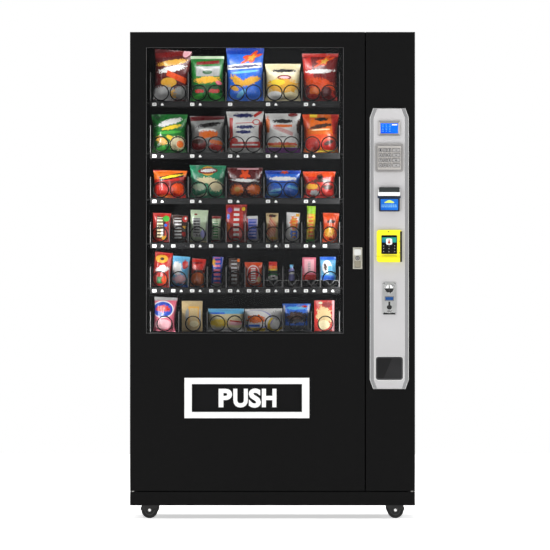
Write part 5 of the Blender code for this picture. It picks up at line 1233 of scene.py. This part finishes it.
def make_change_trim():
    middle, face = BEZEL_TOP - CHANGE_DROP, BEZEL_FACE + 0.002
    half, tall, radius = 0.0532, 0.04525, 0.0105
    bm = bmesh.new()
    add_ring(bm, rounded(BX, middle, 2 * half, 2 * tall, radius),
             rounded(BX, middle, 2 * half - 0.0084, 2 * tall - 0.0084, radius - 0.0030),
             face - 0.0007, face + 0.0003)
    piece("change_door_bead", bm, extra["door_rim"], "change_door", 0.0002)
    inside = rounded(BX, middle, 2 * half - 0.0044, 2 * tall - 0.0044, radius - 0.002, 5)
    # Painted reflection: a lighter plate over the part of the flap right of a slanting line, for a reflection across
    # the smoked door.
    slope = 0.0374 / (2 * tall)
    light = [point for point in inside if point[0] - BX > -0.0058 + slope * (point[1] - middle)]
    ends = [(BX - 0.0058 + slope * (tall - 0.0022), middle + tall - 0.0022),
            (BX - 0.0058 - slope * (tall - 0.0022), middle - tall + 0.0022)]
    plates("change_door_shade", [inside], face - 0.0003, face + 0.0003, extra["door_dark"], "change_door")
    low_side = [point for point in light if point[1] < middle]
    high_side = [point for point in light if point[1] >= middle]
    plates("change_door_painted_reflection", [[ends[1]] + sorted(low_side, key=lambda p: (p[0], p[1]))
                                 + sorted(high_side, key=lambda p: (-p[0], p[1])) + [ends[0]]],
           face - 0.0005, face, extra["door_painted_reflection"], "change_door")
    # The pale ring round the change mouth is a painted highlight on its frame.
    bm = bmesh.new()
    add_ring(bm, rounded(BX, middle, 0.1150, 0.0990, 0.0140), rounded(BX, middle, 0.1086, 0.0927, 0.0112),
             BEZEL_FACE - 0.0008, BEZEL_FACE + 0.0004)
    piece("change_mouth_rim", bm, extra["rim"], COLUMN, 0.0003)


make_display()
make_keypad_trim()
make_keypad_panel()
make_key_legends()
make_bill_trim()
make_reader_trim()
make_coin_trim()
make_change_trim()

# ---------------------------------------------------------------- flap, lock, casters
bm = bmesh.new()
add_ring(bm, rectangle((-0.5033, 0.2833), (0.7382, 1.8783)), rectangle((-0.5013, 0.2813), (0.7394, 1.8771)),
         FRONT + 0.0010, FRONT + 0.0060)
piece("window_trim", bm, extra["trim"], "main_door")
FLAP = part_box("push_flap")
lettering("push_letters", [("P", -0.1880, 0.4812, 0.0538, 0.0740),
                                   ("U", -0.1273, 0.4806, 0.0582, 0.0752),
                                   ("S", -0.0705, 0.4808, 0.0490, 0.0770),
                                   ("H", -0.0133, 0.4812, 0.0582, 0.0740)], FLAP[0].y - 0.0008, 0.0009, extra["letter"],
          "push_flap", bold=0.045)

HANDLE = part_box("lock_handle")
LX, LZ, LY = (HANDLE[0].x + HANDLE[1].x) / 2, (HANDLE[0].z + HANDLE[1].z) / 2, HANDLE[0].y
plates("lock_upper_face", [rounded(LX, LZ + 0.0235, 0.0270, 0.0240, 0.0030)], LY - 0.0008, LY + 0.0002, extra["silver"],
       "lock_handle", 0.0004)
bm = bmesh.new()
add_ring(bm, disc(LX, LZ, 0.0088), disc(LX, LZ, 0.0068), LY - 0.0012, LY + 0.0002)
piece("lock_cylinder_ring", bm, extra["dark"], "lock_handle", 0.0002)
plates("lock_cylinder", [disc(LX, LZ, 0.0066)], LY - 0.0016, LY + 0.0002, extra["bar_dark"], "lock_handle",
       0.0003)
# A black plate in the keyway: painted shade inside it.
plates("lock_keyway", [rounded(LX, LZ, 0.0016, 0.0070, 0.0006, 2)], LY - 0.0018, LY, extra["dark"], "lock_handle")
plates("lock_lower_face", [rounded(LX, LZ - 0.0235, 0.0250, 0.0250, 0.0030)], LY - 0.0005, LY + 0.0002, extra["brass"],
       "lock_handle", 0.0003)

for end in ("front", "rear"):
    for side in ("left", "right"):
        fork, wheel = f"caster_fork_{end}_{side}", f"caster_wheel_{end}_{side}"
        low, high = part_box(fork)
        hub_low, hub_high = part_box(wheel)
        hub_x, hub_z = (hub_low.x + hub_high.x) / 2, (hub_low.z + hub_high.z) / 2
        outward = -1 if side == "left" else 1
        bm = bmesh.new()
        for front, back in ((low.y - 0.0018, low.y), (high.y, high.y + 0.0018)):
            add_plate(bm, disc(hub_x, hub_z, 0.0062, 20), front, back)
            add_plate(bm, disc(hub_x + outward * 0.016, hub_z + 0.025, 0.0030, 6), front, back)
        piece(f"axle_nuts_{end}_{side}", bm, extra["chrome"], fork, 0.0005)
        bm = bmesh.new()
        for front, back in ((hub_low.y - 0.0006, hub_low.y + 0.0002), (hub_high.y - 0.0002, hub_high.y + 0.0006)):
            add_ring(bm, disc(hub_x, hub_z, 0.0205), disc(hub_x, hub_z, 0.0170), front, back)
            add_ring(bm, disc(hub_x, hub_z, 0.0100), disc(hub_x, hub_z, 0.0060), front, back)
        piece(f"wheel_hub_rings_{end}_{side}", bm, extra["grey_ink"], wheel, 0.0002)

# ---------------------------------------------------------------- back and sides of the cabinet
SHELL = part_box("cabinet_shell")
BACK, SIDE = SHELL[1].y, SHELL[1].x


def hidden_cutter(name, bm):
    bmesh.ops.recalc_face_normals(bm, faces=bm.faces)
    mesh = bpy.data.meshes.new(name)
    bm.to_mesh(mesh)
    bm.free()
    cutter = bpy.data.objects.new(name, mesh)
    scene.collection.objects.link(cutter)
    cutter.hide_render = True
    cutter.hide_viewport = True
    return cutter


def shape_node(node, cutter, operation="DIFFERENCE"):
    """A Boolean on a CAD node, put before its soft edges; the mesh itself stays as it is."""
    target = nodes[node]
    modifier = target.modifiers.new(cutter.name, "BOOLEAN")
    modifier.operation = operation
    modifier.object = cutter
    target.modifiers.move(len(target.modifiers) - 1, 1)


def round_corners(node, width, height, middle, radius):
    bm = bmesh.new()
    add_plate(bm, rounded(BX, middle, width, height, radius, 6), BEZEL_FACE - 0.08, BEZEL_FACE + 0.4)
    shape_node(node, hidden_cutter(f"{node}_corners", bm), "INTERSECT")


round_corners("keypad_housing", 0.1136, 0.115, BEZEL_TOP - KEYPAD_DROP, 0.011)
round_corners("card_reader", 0.101, 0.129, BEZEL_TOP - READER_DROP, 0.011)
round_corners("bill_acceptor", 0.082, 0.0964, BEZEL_TOP - BILL_DROP, 0.004)
bm = bmesh.new()
lip_middle = BEZEL_TOP - BILL_DROP + BILL_HALF_HEIGHT - 0.0271
add_plate(bm, rectangle((BX - 0.05, BX + 0.05), (lip_middle - 0.0075, lip_middle + 0.0075)), MODULE_BACK - 0.04,
          MODULE_BACK - 0.0262)
shape_node("bill_acceptor", hidden_cutter("bill_lip_seat", bm))

bm = bmesh.new()
add_ring(bm, rectangle((-0.520, 0.520), (0.200, 1.880)), rectangle((-0.517, 0.517), (0.203, 1.877)),
         BACK - 0.002, BACK + 0.01)
for column in (-0.21, 0.21):
    for step in range(12):
        z = 0.30 + 0.022 * step
        add_plate(bm, rounded(column, z, 0.26, 0.009, 0.004, 3), BACK - 0.014, BACK + 0.01)
SCREWS = [(x, z) for x in (-0.495, 0.0, 0.495) for z in (0.23, 0.78, 1.32, 1.85)]
for x, z in SCREWS:
    add_plate(bm, disc(x, z, 0.0070, 20), BACK - 0.0035, BACK + 0.01)
shape_node("cabinet_shell", hidden_cutter("rear_panel_seams", bm))
bm = bmesh.new()
for x, z in SCREWS:
    add_plate(bm, disc(x, z, 0.0058, 20), BACK - 0.0040, BACK - 0.0012)
piece("rear_panel_screws", bm, extra["chrome"], "cabinet", 0.0006)
bm = bmesh.new()
for column in (-0.21, 0.21):
    for step in range(12):
        z = 0.30 + 0.022 * step
        add_plate(bm, rounded(column, z - 0.0015, 0.258, 0.004, 0.0015, 2), BACK - 0.0125, BACK - 0.0095)
piece("rear_louvre_slats", bm, paints["tray_grey"], "cabinet")
for side in (-1, 1):
    bm = bmesh.new()
    ring = bmesh.new()
    low, high = sorted((side * (SIDE - 0.0015), side * (SIDE + 0.01)))
    add_ring(ring, rectangle((SHELL[0].y + 0.030, BACK - 0.030), (0.170, 1.900)),
             rectangle((SHELL[0].y + 0.0325, BACK - 0.0325), (0.1725, 1.8975)), low, high)
    ring.transform(Matrix(((0, 1, 0, 0), (1, 0, 0, 0), (0, 0, 1, 0), (0, 0, 0, 1))))
    spare = bpy.data.meshes.new("spare")
    ring.to_mesh(spare)
    ring.free()
    bm.from_mesh(spare)
    bpy.data.meshes.remove(spare)
    shape_node("cabinet_shell", hidden_cutter(f"side_seam_{'right' if side > 0 else 'left'}", bm))

# Strip lights inside the window, behind the door's stiles and its top rail.
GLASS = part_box("window_glass")
BAY_LIGHT_Y, BAY_LIGHT_Z = TRAY_FRONT - 0.075, 1.12
BAY_LIGHT_SIZE, BAY_LIGHT_POWER = (0.03, 0.90), 3.4
BAY_LIGHTS = (
    ("bay_left", (GLASS[0].x - 0.012, BAY_LIGHT_Y, BAY_LIGHT_Z),
     (TRAY_LEFT + 0.30, TRAY_FRONT + 0.04, BAY_LIGHT_Z), BAY_LIGHT_SIZE, BAY_LIGHT_POWER),
    ("bay_right", (GLASS[1].x + 0.012, BAY_LIGHT_Y, BAY_LIGHT_Z),
     (TRAY_RIGHT - 0.30, TRAY_FRONT + 0.04, BAY_LIGHT_Z), BAY_LIGHT_SIZE, BAY_LIGHT_POWER),
    ("bay_top", (-0.11, TRAY_FRONT - 0.075, GLASS[1].z + 0.010), (-0.11, TRAY_FRONT + 0.10, 1.40), (0.74, 0.03), 1.4),
)
for name, place, target, size, power in BAY_LIGHTS:
    data = bpy.data.lights.new(name, "AREA")
    data.shape = "RECTANGLE"
    data.size, data.size_y = size
    data.energy = power
    light = bpy.data.objects.new(name, data)
    light.location = place
    light.visible_camera = False
    scene.collection.objects.link(light)
    look_at(light, target)
